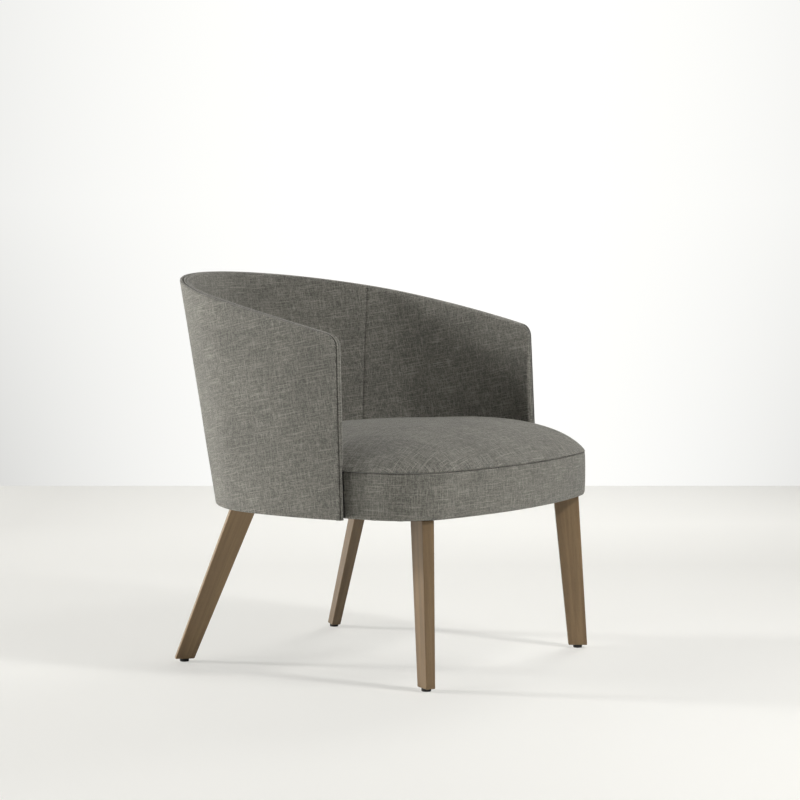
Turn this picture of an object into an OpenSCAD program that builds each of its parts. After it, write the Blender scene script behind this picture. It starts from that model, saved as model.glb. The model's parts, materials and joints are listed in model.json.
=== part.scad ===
/* [Overall] */
// Width over the outside of the arms
chair_width = 700; // [660:5:740]
// Height of the underside of the seat and shell above the floor
underside_h = 292; // [260:1:320]

/* [Back and arm shell, seen from above] */
// Reach of the back behind the zero line, square to its lean
back_reach = 316; // [300:1:330]
// Radius where the back turns into the arms
corner_r = 184; // [170:1:200]
// Radius of the long flat curve of each arm
arm_r = 612; // [560:2:700]
// Half angle covered by the curve of the back, in degrees
back_span = 56; // [52:1:60]
// Angle at which the corner curve ends and the arm begins, in degrees
corner_end = 74; // [70:1:78]
// Lean of the back, in degrees
rake = 11.1; // [6:0.1:14]

/* [Back and arm shell, seen from the side] */
// Distance from the zero line forward to the arm's front edge
arm_reach = 110; // [95:1:125]
// Lean of the arm's front edge, in degrees
arm_lean = 2.3; // [0:0.1:5]
// Height of the rim above the underside, at the zero line
rim_rise = 338; // [310:1:360]
// Slope of the rim at the zero line, in degrees
rim_slope = 13.5; // [8:0.1:16]
// Radius of the rim's slight bow
rim_bow_r = 6100; // [4000:50:9000]
// Radius of the arm's top front corner
arm_corner_r = 25; // [18:1:40]

/* [Layers of the shell] */
// Thickness of every fabric cover
cover_t = 1.2; // [0.8:0.1:1.8]
// Thickness of the wadding under the outer cover
wadding_t = 2.5; // [2:0.1:4]
// Thickness of the moulded plywood
shell_t = 8; // [6:0.5:10]
// Thickness of the foam inside the back and arms
back_foam_t = 6; // [4:0.5:8]
// Setback of the edge band from the outer cover's lip
band_setback = 0.4; // [0.2:0.1:0.8]
// Width of the metal gripper under the outer cover's edge
gripper_w = 12; // [8:1:16]
// Thickness of that gripper
gripper_t = 1; // [0.6:0.1:1.2]
// Height of the gripper's lower ends above the underside
gripper_rise = 20; // [12:1:40]
// Height of the back foam's lower end above the seat seam
foam_end_rise = 15; // [12:1:25]
// Distance of the seam between back and arm panels in from the outside of the arms, at the seat
panel_seam_in = 112; // [100:1:125]
// Outward lean of that seam, in degrees
panel_seam_lean = 7.4; // [4:0.1:10]

/* [Seat] */
// Distance from the zero line forward to the seat's front
seat_reach = 294.6; // [285:0.1:310]
// Radius of the seat's long front curve
seat_front_r = 1022; // [900:2:1300]
// Radius of the seat's front corners
seat_corner_r = 115; // [100:1:125]
// Height of the seat's boxing band, from the underside to the seam
seam_rise = 83; // [76:1:90]
// Rise of the seat's crown above the seam, near the front
seat_crown = 68; // [50:1:80]
// Fall of the crown towards the back, per unit of length
seat_fall = 0.047; // [0:0.001:0.08]
// Distance from the zero line back to the middle of the crown
crown_y = 20; // [0:5:40]
// Gap between the seat's side and the padded inside of the shell
seat_gap = 0.4; // [0.3:0.1:1]
// Thickness of the padding behind the boxing band
side_pad_t = 8; // [6:0.5:10]
// Thickness of the wadding over the seat foam
seat_wadding_t = 3; // [2:0.5:4]

/* [Seat frame] */
// Thickness of the seat rails
rail_t = 20; // [18:0.5:22]
// Height of the seat rails
rail_h = 54; // [50:1:56]
// Height of the corner blocks
block_h = 44; // [40:1:48]
// Size of a corner block along each side
block_size = 72; // [68:1:80]
// Width of a webbing belt
belt_w = 50; // [40:1:55]
// Thickness of a webbing belt
belt_t = 2; // [1.5:0.1:3]
// Distance from belt to belt
belt_pitch = 88; // [80:1:100]
// Distance of a corner block's inner side from the hanger bolt
block_back = 22; // [20:1:26]
// Distance of a corner block's screws from its middle
screw_offset = 22; // [18:1:26]
// Width of the cover turned in under the rails
hem_w = 26; // [22:1:28]
// Thickness of the dust cover under the seat
dust_t = 0.8; // [0.5:0.1:1]

/* [Legs] */
// Width of a leg at its top, along the splay
leg_top_w = 47; // [42:0.5:50]
// Thickness of a leg at its top
leg_top_t = 23; // [21:0.5:26]
// Width of a leg at its foot
leg_foot_w = 35; // [30:0.5:40]
// Thickness of a leg at its foot
leg_foot_t = 17.5; // [17.5:0.5:20]
// Radius of a leg's eased edges
leg_edge_r = 2; // [1:0.5:3]
// Angle of the front legs round the seat's front corners, from the back, in degrees
front_leg_angle = 145.9; // [138:0.1:152]
// Distance of a front leg's top inside the seat's outline
front_leg_inset = 35.4; // [34:0.1:42]
// Outward splay of a front leg between its top and the floor
front_splay_x = 16.4; // [10:0.1:25]
// Forward splay of a front leg between its top and the floor
front_splay_y = 18.8; // [10:0.1:28]
// Angle of the back legs round the curve of the back, in degrees
back_leg_angle = 39.5; // [36:0.1:43]
// Distance of a back leg's top inside the seat's outline
back_leg_inset = 31.8; // [31:0.1:40]
// Outward splay of a back leg between its top and the floor
back_splay_x = 50.4; // [42:0.1:60]
// Backward splay of a back leg between its top and the floor
back_splay_y = 104.7; // [95:0.1:115]
// Turn of the front legs' wide side from the fore-and-aft line, in degrees
front_turn = 32; // [25:1:40]
// Turn of the back legs' wide side from the fore-and-aft line, in degrees
back_turn = 42; // [35:1:50]

/* [Glides and fasteners] */
// Diameter of a glide
glide_d = 17; // [14:0.5:17.5]
// Height of a glide
glide_h = 5.5; // [4:0.5:8]
// Diameter of a glide's nail
glide_nail_d = 3; // [2:0.1:3.5]
// Length of a glide's nail inside the leg
glide_nail_l = 18; // [12:1:24]
// Diameter of a leg's hanger bolt
hanger_d = 8; // [6:1:8]
// Depth of the hanger bolt in a front leg
hanger_depth = 34; // [25:1:40]
// Depth of the hanger bolt in a back leg, which leans away from it
back_hanger_depth = 24; // [20:1:26]
// Distance of the hanger bolt from the middle of the leg's top
hanger_inset = 8; // [7:0.5:8.5]
// Diameter of a tee nut's flange
tee_flange_d = 18; // [16:1:18]
// Depth of a leg's tee nut in its corner block
tee_depth = 10; // [8:1:14]
// Diameter of the bolts between shell and seat frame
shell_bolt_d = 6; // [5:1:6]
// Diameter of the spacers between shell and seat frame
spacer_d = 28; // [24:1:32]
// Height of the shell bolts above the underside
shell_bolt_rise = 30; // [26:1:34]
// Thickness of a tee nut's flange
tee_flange_t = 1.4; // [1:0.1:2]
// Wall of a tee nut's barrel
tee_wall = 1.2; // [1:0.1:1.5]
// Diameter of the corner block screws
screw_d = 4; // [3.5:0.5:5]
// Length of the corner block screws
screw_l = 52; // [45:1:55]
// Width of a staple's crown
staple_w = 10; // [8:1:12]
// Thickness of a staple's wire
staple_wire = 1; // [0.7:0.1:1.2]
// Length of a staple's legs
staple_leg = 7.3; // [6:0.1:9]
// Clearance between pieces that nearly touch
clr = 0.3; // [0.2:0.05:0.4]

/* [Hidden] */

hw = chair_width / 2;
ct = cos(rake);
st = sin(rake);
far = 900;
// Three-centre curve of the shell, square to the lean: centre, radius, first and last angle from the back
arm_end = 108;
back_r = corner_r + (hw - arm_r + (arm_r - corner_r) * sin(corner_end)) / sin(back_span);
c1 = [0, back_reach - back_r];
c2 = c1 + (back_r - corner_r) * dir(back_span);
c3 = c2 + (corner_r - arm_r) * dir(corner_end);
half_arcs = [[c1, back_r, 0, back_span], [c2, corner_r, back_span, corner_end],
    [c3, arm_r, corner_end, arm_end]];

// Depths of the layers inward from the outside of the shell
wad_d = cover_t + clr;
ply_d = wad_d + wadding_t + clr;
ply_end = ply_d + shell_t;
foam_d = ply_end + clr;
skin_d = foam_d + back_foam_t + clr;
full_t = skin_d + cover_t;
thin_t = foam_d + cover_t;
// Depths inward from the rim and front edges
band_d = band_setback;
core_d = band_d + cover_t + clr;

// Rim circle and front line in the side view
rim_o = [rim_bow_r * sin(rim_slope), underside_h + rim_rise - rim_bow_r * cos(rim_slope)];
front_n = [cos(arm_lean), -sin(arm_lean)];
front_u = [sin(arm_lean), cos(arm_lean)];
front_f = [-arm_reach, underside_h];
arm_c0 = front_f + front_n * arm_corner_r - rim_o;
arm_cb = arm_c0 * front_u;
arm_c = rim_o + arm_c0
    + front_u * (sqrt(arm_cb * arm_cb - arm_c0 * arm_c0 + pow(rim_bow_r - arm_corner_r, 2)) - arm_cb);

// Rearmost point of the rim, which sets the middle of the chair's depth
back_0 = [back_reach / ct, underside_h] - rim_o;
back_b = back_0 * [st, ct];
back_top = rim_o + back_0
    + [st, ct] * (sqrt(back_b * back_b - back_0 * back_0 + rim_bow_r * rim_bow_r) - back_b);
mid_y = (back_top[0] - seat_reach) / 2;
rim_end = atan2(back_top[0] - rim_o[0], back_top[1] - rim_o[1]) + 0.3;

// Seat outline: leaning curves behind, upright curves in front, joined at the front corners' centres
seat_d = full_t + seat_gap;
seat_hw = hw - seat_d;
front_o = [0, seat_front_r - seat_reach];
seat_cx = seat_hw - seat_corner_r;
seat_cy = front_o[1] - sqrt(pow(seat_front_r - seat_corner_r, 2) - seat_cx * seat_cx);
front_a = atan2(seat_cx, front_o[1] - seat_cy);
seam_z = underside_h + seam_rise;
foam_end_z = seam_z + foam_end_rise;

// Levels and depths of the seat frame
hem_z = underside_h + dust_t + clr;
rail_z = hem_z + cover_t + clr;
rail_top = rail_z + rail_h;
pad_d = cover_t + clr;
rail_d = pad_d + side_pad_t + clr;
block_d = rail_d + rail_t + 0.1;
belt_z = rail_top + 0.1;
cross_z = belt_z + belt_t + 0.2;
foam_z = cross_z + belt_t + clr;

// Legs: side of the chair, foot, splay and turn of the wide side
leg_top_z = underside_h - 0.2;
front_splay = [-front_splay_x, front_splay_y];
back_splay = [-back_splay_x, -back_splay_y];
front_top = [seat_cx, seat_cy] + (seat_corner_r - front_leg_inset) * dir(front_leg_angle);
rear_top = tilt(c1 + (back_r - seat_d - back_leg_inset) * dir(back_leg_angle), underside_h);
front_foot = front_top - front_splay;
back_foot = rear_top - back_splay;
front_out = [sin(front_turn), -cos(front_turn)];
back_out = [sin(back_turn), cos(back_turn)];
front_bolt = front_top - front_out * hanger_inset;
back_bolt = rear_top - back_out * hanger_inset;

// Angles of the shell bolts from the back, on each side
bolt_angles = [24, 66, 86];

function dir(a) = [sin(a), cos(a)];
function tilt(p, z) = [p[0], p[1] / ct + (z - underside_h) * st / ct];
function lean_w(v, z) = (z - underside_h + v * st) / ct;

// Places children in the section square to the back's lean
module leaning() { translate([0, 0, underside_h]) rotate([-rake, 0, 0]) children(); }
// Extrudes a section along the lean, well past the floor side and the rim
module lean_wall() { leaning() translate([0, 0, -far / 5]) linear_extrude(far) children(); }
// Moves the chair so that the middle of its box stands over the origin
module placed() { translate([0, -mid_y, 0]) children(); }
module both() { children(); mirror([1, 0, 0]) children(); }
module slab(z0, z1) { translate([-far, -far, z0]) cube([2 * far, 2 * far, z1 - z0]); }

// Points round the shell at depth d, from the right arm's front past the back to the left arm's front
back_steps = 20;
corner_steps = 6;
arm_steps = 9;
function arc_part(i, d, a1, steps) = let (a = half_arcs[i])
    [for (k = [0 : steps - 1]) a[0] + (a[1] - d) * dir(a[2] + (a1 - a[2]) * k / steps)];
function half_shell(d, a_end) = concat(arc_part(0, d, back_span, back_steps),
    arc_part(1, d, corner_end, corner_steps), arc_part(2, d, a_end, arm_steps),
    [c3 + (arm_r - d) * dir(a_end)]);
function mirrored(h) = [for (i = [len(h) - 1 : -1 : 0]) [-h[i][0], h[i][1]]];
function across(h) = concat([for (i = [len(h) - 1 : -1 : 1]) [-h[i][0], h[i][1]]], h);
function turned(h) = [for (i = [len(h) - 1 : -1 : 0]) h[i]];

// The shell's wall between two depths
module shell_ring(d1, d2) {
    polygon(concat(across(half_shell(d1, arm_end)), turned(across(half_shell(d2, arm_end)))));
}

// Side view of the shell, drawn in by d from the rim and front edge, down to height low
module side_view(d, low) {
    e = (arm_c - rim_o) / norm(arm_c - rim_o);
    f = front_f + front_n * d;
    r0 = atan2(e[0], e[1]);
    polygon(concat([[far, low], f + front_u * (low - f[1]) / front_u[1]],
        [for (k = [0 : 8]) arm_c + (arm_corner_r - d) * dir(-90 + arm_lean + (90 - arm_lean + r0) * k / 8)],
        [for (k = [1 : 24]) rim_o + (rim_bow_r - d) * dir(r0 + k * (rim_end - r0) / 24)],
        [[far, underside_h]]));
}
module side_body(d, low) { rotate([90, 0, 90]) linear_extrude(2 * far, center = true) side_view(d, low); }

// One layer of the shell: depths d1 to d2, drawn in by d from the rim, from height low up
module layer(d1, d2, d, low) {
    intersection() {
        lean_wall() shell_ring(d1, d2);
        side_body(d, low);
    }
}

// Seat outline behind the front corners, square to the lean, and in front of them, level
function seat_back(e) = let (h = half_shell(seat_d + e, 90)) concat(h, [[seat_hw - e, c3[1] - 300]]);
function seat_front(e) = concat(
    [for (k = [0 : 12]) [seat_cx, seat_cy] + (seat_corner_r - e) * dir(90 + (90 - front_a) * k / 12)],
    [for (k = [1 : 6]) front_o + (seat_front_r - e) * dir(180 - front_a * (1 - k / 6))]);
module seat_join(z0, z1) {
    intersection() {
        union() {
            intersection() {
                lean_wall() children(0);
                translate([-far, seat_cy, 0]) cube([2 * far, far, far]);
            }
            translate([0, 0, z0 - 5]) linear_extrude(z1 - z0 + 10) children(1);
        }
        slab(z0, z1);
    }
}

// The seat's wall between two depths inside its outline
module seat_ring(e1, e2, z0, z1) {
    seat_join(z0, z1) {
        polygon(concat(across(seat_back(e1)), turned(across(seat_back(e2)))));
        polygon(concat(seat_front(e1), mirrored(seat_front(e1)),
            turned(concat(seat_front(e2), mirrored(seat_front(e2))))));
    }
}

// The whole area inside the seat's outline, drawn in by e
module seat_area(e, z0, z1) {
    seat_join(z0, z1) {
        polygon(across(seat_back(e)));
        polygon(concat(seat_front(e), mirrored(seat_front(e))));
    }
}

// Points of the seat's outline drawn in by e at height z, from the middle of the back round to the right
seat_steps = 5;
function half_outline(e, z) = concat(
    [for (i = [0 : 2], k = [0 : seat_steps - 1]) let (a = half_arcs[i], t = min(90, a[3]),
        q = a[2] + (t - a[2]) * k / seat_steps) tilt(a[0] + (a[1] - seat_d - e) * dir(q), z)],
    [for (k = [0 : 1]) [seat_hw - e, tilt(c3, z)[1] * (1 - k / 2) + seat_cy * k / 2]],
    [for (k = [0 : 8]) [seat_cx, seat_cy] + (seat_corner_r - e) * dir(90 + (90 - front_a) * k / 8)],
    [for (k = [1 : 4]) front_o + (seat_front_r - e) * dir(180 - front_a * (1 - k / 4))]);
function outline(e, z) = let (h = half_outline(e, z), n = len(h))
    concat(h, [for (i = [n - 2 : -1 : 1]) [-h[i][0], h[i][1]]]);
outline_n = len(outline(0, seam_z));

// The crown: share of the way in from the edge, and height above the seam
crown_mid = [0, crown_y];
crown_front = -100;
crown_q = [0, 0.01, 0.035, 0.075, 0.13, 0.21, 0.32, 0.47, 0.66, 0.86];
function crown_f(q) = pow(1 - pow(1 - q, 4), 0.8);
function crown_ring(q, e, drop) = let (f = crown_f(q), h = seat_crown - drop,
    edge = outline(e, seam_z + h * f))
    [for (p = edge) let (s = crown_mid + (p - crown_mid) * (1 - q))
        [s[0], s[1], seam_z + clr + (h - seat_fall * (s[1] - crown_front)) * f]];
function crown_top(drop) = [crown_mid[0], crown_mid[1],
    seam_z + clr + seat_crown - drop - seat_fall * (crown_mid[1] - crown_front)];
function flat_ring(e, z, lean_z) = [for (p = outline(e, lean_z)) [p[0], p[1], z]];

// Joins rings of points, listed from below, into a body that starts and ends in a single point. The
// first inner rings line its hollow, and their quads are cut along the same diagonals as those outside.
function quad(a, b, n, rising) = rising
    ? [[a, a + n, b], [b, a + n, b + n]] : [[a, a + n, b + n], [a, b + n, b]];
module ringed(bottom, rings, top, inner = 0) {
    n = len(rings[0]);
    m = len(rings);
    polyhedron(
        points = concat([bottom], [for (r = rings, p = r) p], [top]),
        faces = concat(
            [for (i = [0 : n - 1]) [0, 1 + i, 1 + (i + 1) % n]],
            [for (k = [0 : m - 2], i = [0 : n - 1])
                each quad(1 + k * n + i, 1 + k * n + (i + 1) % n, n, (i < n / 2) != (k < inner))],
            [for (i = [0 : n - 1]) let (a = 1 + (m - 1) * n) [a + (i + 1) % n, a + i, 1 + m * n]]));
}

// A domed skin over the seat, from depth e1 to e2 below the surface
module crown_skin(e1, e2) {
    m = len(crown_q);
    inner = [for (k = [m - 1 : -1 : 0]) crown_ring(crown_q[k], e2, e2)];
    outer = [for (k = [0 : m - 1]) crown_ring(crown_q[k], e1, e1)];
    ringed(crown_top(e2), concat(inner, outer), crown_top(e1), m);
}

// A leg between its top and its glide, from sections with eased corners
function leg_section(c, out, w, t, z) = let (side = [-out[1], out[0]], r = leg_edge_r)
    [for (i = [0 : 3], k = [0 : 3]) let (q = 90 * i + 30 * k, sx = (i == 0 || i == 3) ? 1 : -1,
        sy = i < 2 ? 1 : -1, along = sx * (w / 2 - r) + r * cos(q), over = sy * (t / 2 - r) + r * sin(q))
        let (p = c + out * along + side * over) [p[0], p[1], z]];
module leg(foot, splay, out, bolt, bolt_depth) {
    share = glide_h / underside_h;
    low = foot + splay * share;
    high = foot + splay;
    w0 = leg_foot_w + (leg_top_w - leg_foot_w) * share;
    t0 = leg_foot_t + (leg_top_t - leg_foot_t) * share;
    difference() {
        ringed([low[0], low[1], glide_h],
            [leg_section(low, out, w0 - 1, t0 - 1, glide_h), leg_section(low, out, w0, t0, glide_h + 0.8),
                leg_section(high, out, leg_top_w, leg_top_t, leg_top_z)],
            [high[0], high[1], leg_top_z]);
        translate([bolt[0], bolt[1], underside_h - bolt_depth - 1])
            cylinder(d = hanger_d + 0.2, h = bolt_depth + 2, $fn = 32);
        translate([low[0], low[1], -1])
            cylinder(d = glide_nail_d + 0.2, h = glide_h + glide_nail_l + 2, $fn = 24);
    }
}

// Places children on the shell's outside at an angle from the back, with +Z pointing out of the shell
module on_shell(a, z) {
    i = a < back_span ? 0 : a < corner_end ? 1 : 2;
    p = half_arcs[i][0] + half_arcs[i][1] * dir(a);
    v = half_arcs[i][0][1] + (half_arcs[i][1] - seat_d) * cos(a);
    leaning() translate([p[0], p[1], lean_w(v, z)]) rotate([0, 0, -a]) rotate([-90, 0, 0]) children();
}
module at_shell_bolts() {
    both() for (a = bolt_angles) on_shell(a, underside_h + shell_bolt_rise) children();
}

module outer_cover() {
    color("dimgray") placed() {
        layer(0, cover_t, 0, underside_h);
        intersection() {
            layer(cover_t / 2, ply_end, 0, underside_h);
            slab(underside_h, underside_h + cover_t);
        }
    }
}

module edge_band() {
    color("gray") placed() difference() {
        union() {
            layer(wad_d, thin_t, band_d, underside_h + cover_t + clr);
            layer(thin_t - clr, full_t, band_d, foam_end_z - cover_t - clr);
        }
        side_body(band_d + cover_t, 0);
    }
}

module edge_gripper() {
    color("silver") placed() difference() {
        layer(wad_d, wad_d + gripper_t, core_d, underside_h + gripper_rise);
        side_body(core_d + gripper_w, 0);
    }
}

module outer_wadding() {
    color("whitesmoke") placed() difference() {
        union() {
            layer(wad_d + gripper_t + clr, wad_d + wadding_t, core_d, underside_h + cover_t + clr);
            layer(wad_d, wad_d + wadding_t, core_d + gripper_w + clr, underside_h + cover_t + clr);
        }
        at_shell_bolts() translate([0, 0, -ply_d - 1])
            cylinder(d = tee_flange_d + 1, h = ply_d + 2, $fn = 40);
    }
}

module back_shell() {
    color("burlywood") placed() difference() {
        layer(ply_d, ply_end, core_d, underside_h + cover_t + clr);
        at_shell_bolts() translate([0, 0, -ply_end - 5])
            cylinder(d = shell_bolt_d + 2 * tee_wall + 0.4, h = ply_end + 9, $fn = 32);
    }
}

module back_foam() {
    color("khaki") placed() layer(foam_d, foam_d + back_foam_t, core_d, foam_end_z);
}

// The whole inner cover, with the ledge where it dips behind the seat
module inner_skin() {
    difference() {
        union() {
            layer(skin_d, full_t, core_d, foam_end_z - cover_t - clr);
            intersection() {
                layer(foam_d, full_t, core_d, foam_end_z - cover_t - clr);
                slab(0, foam_end_z - clr);
            }
            intersection() {
                layer(foam_d, thin_t, core_d, underside_h + cover_t + clr);
                slab(0, foam_end_z - clr);
            }
        }
        at_shell_bolts() translate([0, 0, -full_t - 5])
            cylinder(d = shell_bolt_d + 2 * tee_wall + 0.4, h = full_t + 9, $fn = 32);
    }
}
module arm_side(gap) {
    translate([hw - panel_seam_in, 0, foam_end_z]) rotate([0, panel_seam_lean, 0])
        translate([gap, -far, -far]) cube([far, 2 * far, 2 * far]);
}

module inner_cover_back() {
    color("darkgray") placed() difference() {
        inner_skin();
        both() arm_side(-clr / 2);
    }
}

module inner_cover_left() {
    color("gray") placed() intersection() {
        inner_skin();
        arm_side(clr / 2);
    }
}

module inner_cover_right() {
    mirror([1, 0, 0]) inner_cover_left();
}

module seat_top_cover() {
    color("darkgray") placed() crown_skin(0, cover_t);
}

module seat_boxing() {
    color("dimgray") placed() difference() {
        union() {
            seat_ring(0, cover_t, hem_z, seam_z);
            seat_ring(cover_t / 2, hem_w, hem_z, hem_z + cover_t);
        }
        at_shell_bolts() translate([0, 0, -seat_d - 30]) cylinder(d = spacer_d + 0.6, h = 60, $fn = 48);
        hanger_holes();
    }
}

module seat_wadding() {
    color("white") placed() crown_skin(cover_t + clr, cover_t + clr + seat_wadding_t);
}

module seat_foam() {
    d = cover_t + 2 * clr + seat_wadding_t;
    m = len(crown_q);
    color("lemonchiffon") placed() ringed([crown_mid[0], crown_mid[1], foam_z],
        concat([flat_ring(rail_d, foam_z, foam_z), flat_ring(rail_d, seam_z - clr, seam_z - clr)],
            [for (k = [0 : m - 1]) crown_ring(crown_q[k], d, d)]), crown_top(d));
}

module seat_side_pad() {
    color("khaki") placed() difference() {
        seat_ring(pad_d, pad_d + side_pad_t, rail_z, seam_z - clr);
        at_shell_bolts() translate([0, 0, -seat_d - 30]) cylinder(d = spacer_d + 0.6, h = 60, $fn = 48);
    }
}

module webbing_long() {
    color("tan") placed() intersection() {
        for (i = [-2 : 2]) translate([i * belt_pitch - belt_w / 2, -far, belt_z])
            cube([belt_w, 2 * far, belt_t]);
        seat_area(rail_d + 1, belt_z - 1, belt_z + belt_t + 1);
    }
}

module webbing_cross() {
    color("peru") placed() intersection() {
        for (i = [-2 : 2]) translate([-far, crown_y + i * belt_pitch - belt_w / 2, cross_z])
            cube([2 * far, belt_w, belt_t]);
        seat_area(rail_d + 1, cross_z - 1, cross_z + belt_t + 1);
    }
}

// Holes for the shell bolts and tee nuts through the rails
module rail_ring() {
    difference() {
        seat_ring(rail_d, rail_d + rail_t, rail_z, rail_top);
        at_shell_bolts() translate([0, 0, -seat_d - 60]) cylinder(d = shell_bolt_d + 0.4, h = 70, $fn = 32);
    }
}
joint_front = seat_cy - 2;
joint_back = tilt(half_arcs[0][0] + (back_r - seat_d) * dir(50), rail_z)[1];

module rail_front() {
    color("sandybrown") placed() difference() {
        rail_ring();
        translate([-far, joint_front, 0]) cube([2 * far, 2 * far, far]);
        block_screw_holes();
    }
}

module rail_back() {
    color("sandybrown") placed() difference() {
        rail_ring();
        translate([-far, joint_back - 2 * far, 0]) cube([2 * far, 2 * far, far]);
        block_screw_holes();
    }
}

module rail_left() {
    color("peru") placed() difference() {
        rail_ring();
        translate([-far, joint_front - 2 * far + 0.1, 0]) cube([2 * far, 2 * far, far]);
        translate([-far, joint_back - 0.1, 0]) cube([2 * far, 2 * far, far]);
        translate([-far, -far, 0]) cube([far, 2 * far, far]);
        block_screw_holes();
    }
}

module rail_right() {
    mirror([1, 0, 0]) rail_left();
}

// Holes that the hanger bolts and their tee nuts need
module hanger_holes() {
    both() for (b = [front_bolt, back_bolt]) translate([b[0], b[1], 0])
        cylinder(d = hanger_d + 0.4, h = far, $fn = 32);
}
module corner_block(bolt, out) {
    difference() {
        intersection() {
            translate([bolt[0], bolt[1], rail_z]) rotate([0, 0, atan2(out[1], out[0])])
                translate([-block_back, -block_size / 2, 0]) cube([block_size, block_size, block_h]);
            seat_area(block_d, rail_z - 1, rail_top + 1);
        }
        translate([bolt[0], bolt[1], 0]) cylinder(d = hanger_d + 2 * tee_wall + 0.8, h = far, $fn = 32);
        block_screw_holes();
    }
}

module corner_block_front_left() {
    color("goldenrod") placed() corner_block(front_bolt, front_out);
}

module corner_block_front_right() {
    mirror([1, 0, 0]) corner_block_front_left();
}

module corner_block_back_left() {
    color("goldenrod") placed() corner_block(back_bolt, back_out);
}

module corner_block_back_right() {
    mirror([1, 0, 0]) corner_block_back_left();
}

// Two screws from each block into the rails, along the block's outward line
module at_block_screws() {
    both() for (b = [[front_bolt, front_out], [back_bolt, back_out]], s = [-1, 1])
        translate([b[0][0], b[0][1], rail_z + block_h / 2]) rotate([0, 0, atan2(b[1][1], b[1][0])])
            translate([-block_back, s * screw_offset, 0]) rotate([0, 90, 0]) children();
}
module block_screw_holes() {
    at_block_screws() translate([0, 0, -1]) cylinder(d = screw_d + 0.2, h = screw_l + 28, $fn = 24);
}

module block_screws() {
    color("silver") placed() at_block_screws() {
        translate([0, 0, -2.6]) cylinder(d = 2 * screw_d, h = 2.5, $fn = 24);
        translate([0, 0, -1]) cylinder(d = screw_d, h = screw_l, $fn = 24);
    }
}

module shell_bolts() {
    color("silver") placed() at_shell_bolts() {
        translate([0, 0, -ply_d + 1]) mirror([0, 0, 1])
            cylinder(d = shell_bolt_d, h = seat_d + rail_d + rail_t - ply_d + 3, $fn = 32);
        translate([0, 0, -seat_d - rail_d - rail_t - 5]) cylinder(d = 2 * shell_bolt_d, h = 3.4, $fn = 32);
    }
}

module shell_tee_nuts() {
    color("gray") placed() at_shell_bolts() difference() {
        union() {
            translate([0, 0, -ply_d + 0.1]) cylinder(d = tee_flange_d, h = tee_flange_t, $fn = 40);
            translate([0, 0, -ply_end + 1]) cylinder(d = shell_bolt_d + 2 * tee_wall, h = shell_t, $fn = 32);
        }
        translate([0, 0, -far / 2]) cylinder(d = shell_bolt_d + 0.2, h = far, $fn = 32);
    }
}

module shell_spacers() {
    color("dimgray") placed() difference() {
        at_shell_bolts() difference() {
            translate([0, 0, -seat_d - rail_d + clr]) cylinder(d = spacer_d, h = seat_d + rail_d, $fn = 48);
            translate([0, 0, -far / 2]) cylinder(d = shell_bolt_d + 0.4, h = far, $fn = 32);
        }
        layer(-60, thin_t + clr, 0, underside_h);
    }
}

module dust_cover() {
    color("black") placed() difference() {
        seat_area(rail_d + 2, underside_h, underside_h + dust_t);
        hanger_holes();
    }
}

// Staples lie along the hem line, crown down, with their legs in the wood
module staple() {
    translate([-staple_w / 2, -staple_wire / 2, -staple_wire]) cube([staple_w, staple_wire, staple_wire]);
    for (x = [-staple_w / 2, staple_w / 2 - staple_wire])
        translate([x, -staple_wire / 2, -staple_wire])
            cube([staple_wire, staple_wire, staple_leg + staple_wire]);
}

module dust_cover_staples() {
    color("silver") placed() staples_at(rail_d + rail_t / 2);
}
leg_clear = 35;
module staples_at(e) {
    h = half_outline(e, underside_h);
    both() for (i = [2 : 3 : len(h) - 2])
        if (min(norm(h[i] - front_top), norm(h[i] - rear_top)) > leg_clear)
            translate([h[i][0], h[i][1], underside_h - 0.1])
        rotate([0, 0, atan2(h[i + 1][1] - h[i - 1][1], h[i + 1][0] - h[i - 1][0])]) staple();
}

module hem_staples() {
    color("silver") placed() for (a = [-70 : 20 : 70]) let (i = abs(a) < back_span ? 0 : 1,
        s = a < 0 ? -1 : 1, r = half_arcs[i][1] - ply_d - shell_t / 2,
        p = tilt(half_arcs[i][0] + r * dir(abs(a)), underside_h))
        translate([s * p[0], p[1], underside_h - 0.1]) rotate([0, 0, -a]) staple();
}

module leg_front_left() {
    color("saddlebrown") placed() leg(front_foot, front_splay, front_out, front_bolt, hanger_depth);
}

module leg_front_right() {
    mirror([1, 0, 0]) leg_front_left();
}

module leg_back_left() {
    color("saddlebrown") placed() leg(back_foot, back_splay, back_out, back_bolt, back_hanger_depth);
}

module leg_back_right() {
    mirror([1, 0, 0]) leg_back_left();
}

module at_legs() {
    both() for (b = [front_bolt, back_bolt]) translate([b[0], b[1], 0]) children();
}

module hanger_bolts() {
    color("silver") placed() both()
        for (b = [[front_bolt, hanger_depth], [back_bolt, back_hanger_depth]])
            translate([b[0][0], b[0][1], underside_h - b[1]])
                cylinder(d = hanger_d, h = b[1] + (rail_z - underside_h) + block_h + 2, $fn = 32);
}

module leg_tee_nuts() {
    color("gray") placed() at_legs() difference() {
        union() {
            translate([0, 0, rail_z + block_h + 0.1]) cylinder(d = tee_flange_d, h = tee_flange_t, $fn = 40);
            translate([0, 0, rail_z + block_h - tee_depth])
                cylinder(d = hanger_d + 2 * tee_wall, h = tee_depth + 0.5, $fn = 32);
        }
        cylinder(d = hanger_d + 0.2, h = far, $fn = 32);
    }
}

module at_feet() {
    both() for (f = [[front_foot, front_splay], [back_foot, back_splay]])
        let (p = f[0] + f[1] * glide_h / underside_h) translate([p[0], p[1], 0]) children();
}

module glides() {
    color("black") placed() at_feet() difference() {
        union() {
            cylinder(d1 = glide_d - 1.5, d2 = glide_d, h = 1, $fn = 48);
            translate([0, 0, 1]) cylinder(d = glide_d, h = glide_h - 1.1, $fn = 48);
        }
        translate([0, 0, 2]) cylinder(d = glide_nail_d + 0.2, h = glide_h, $fn = 24);
    }
}

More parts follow.
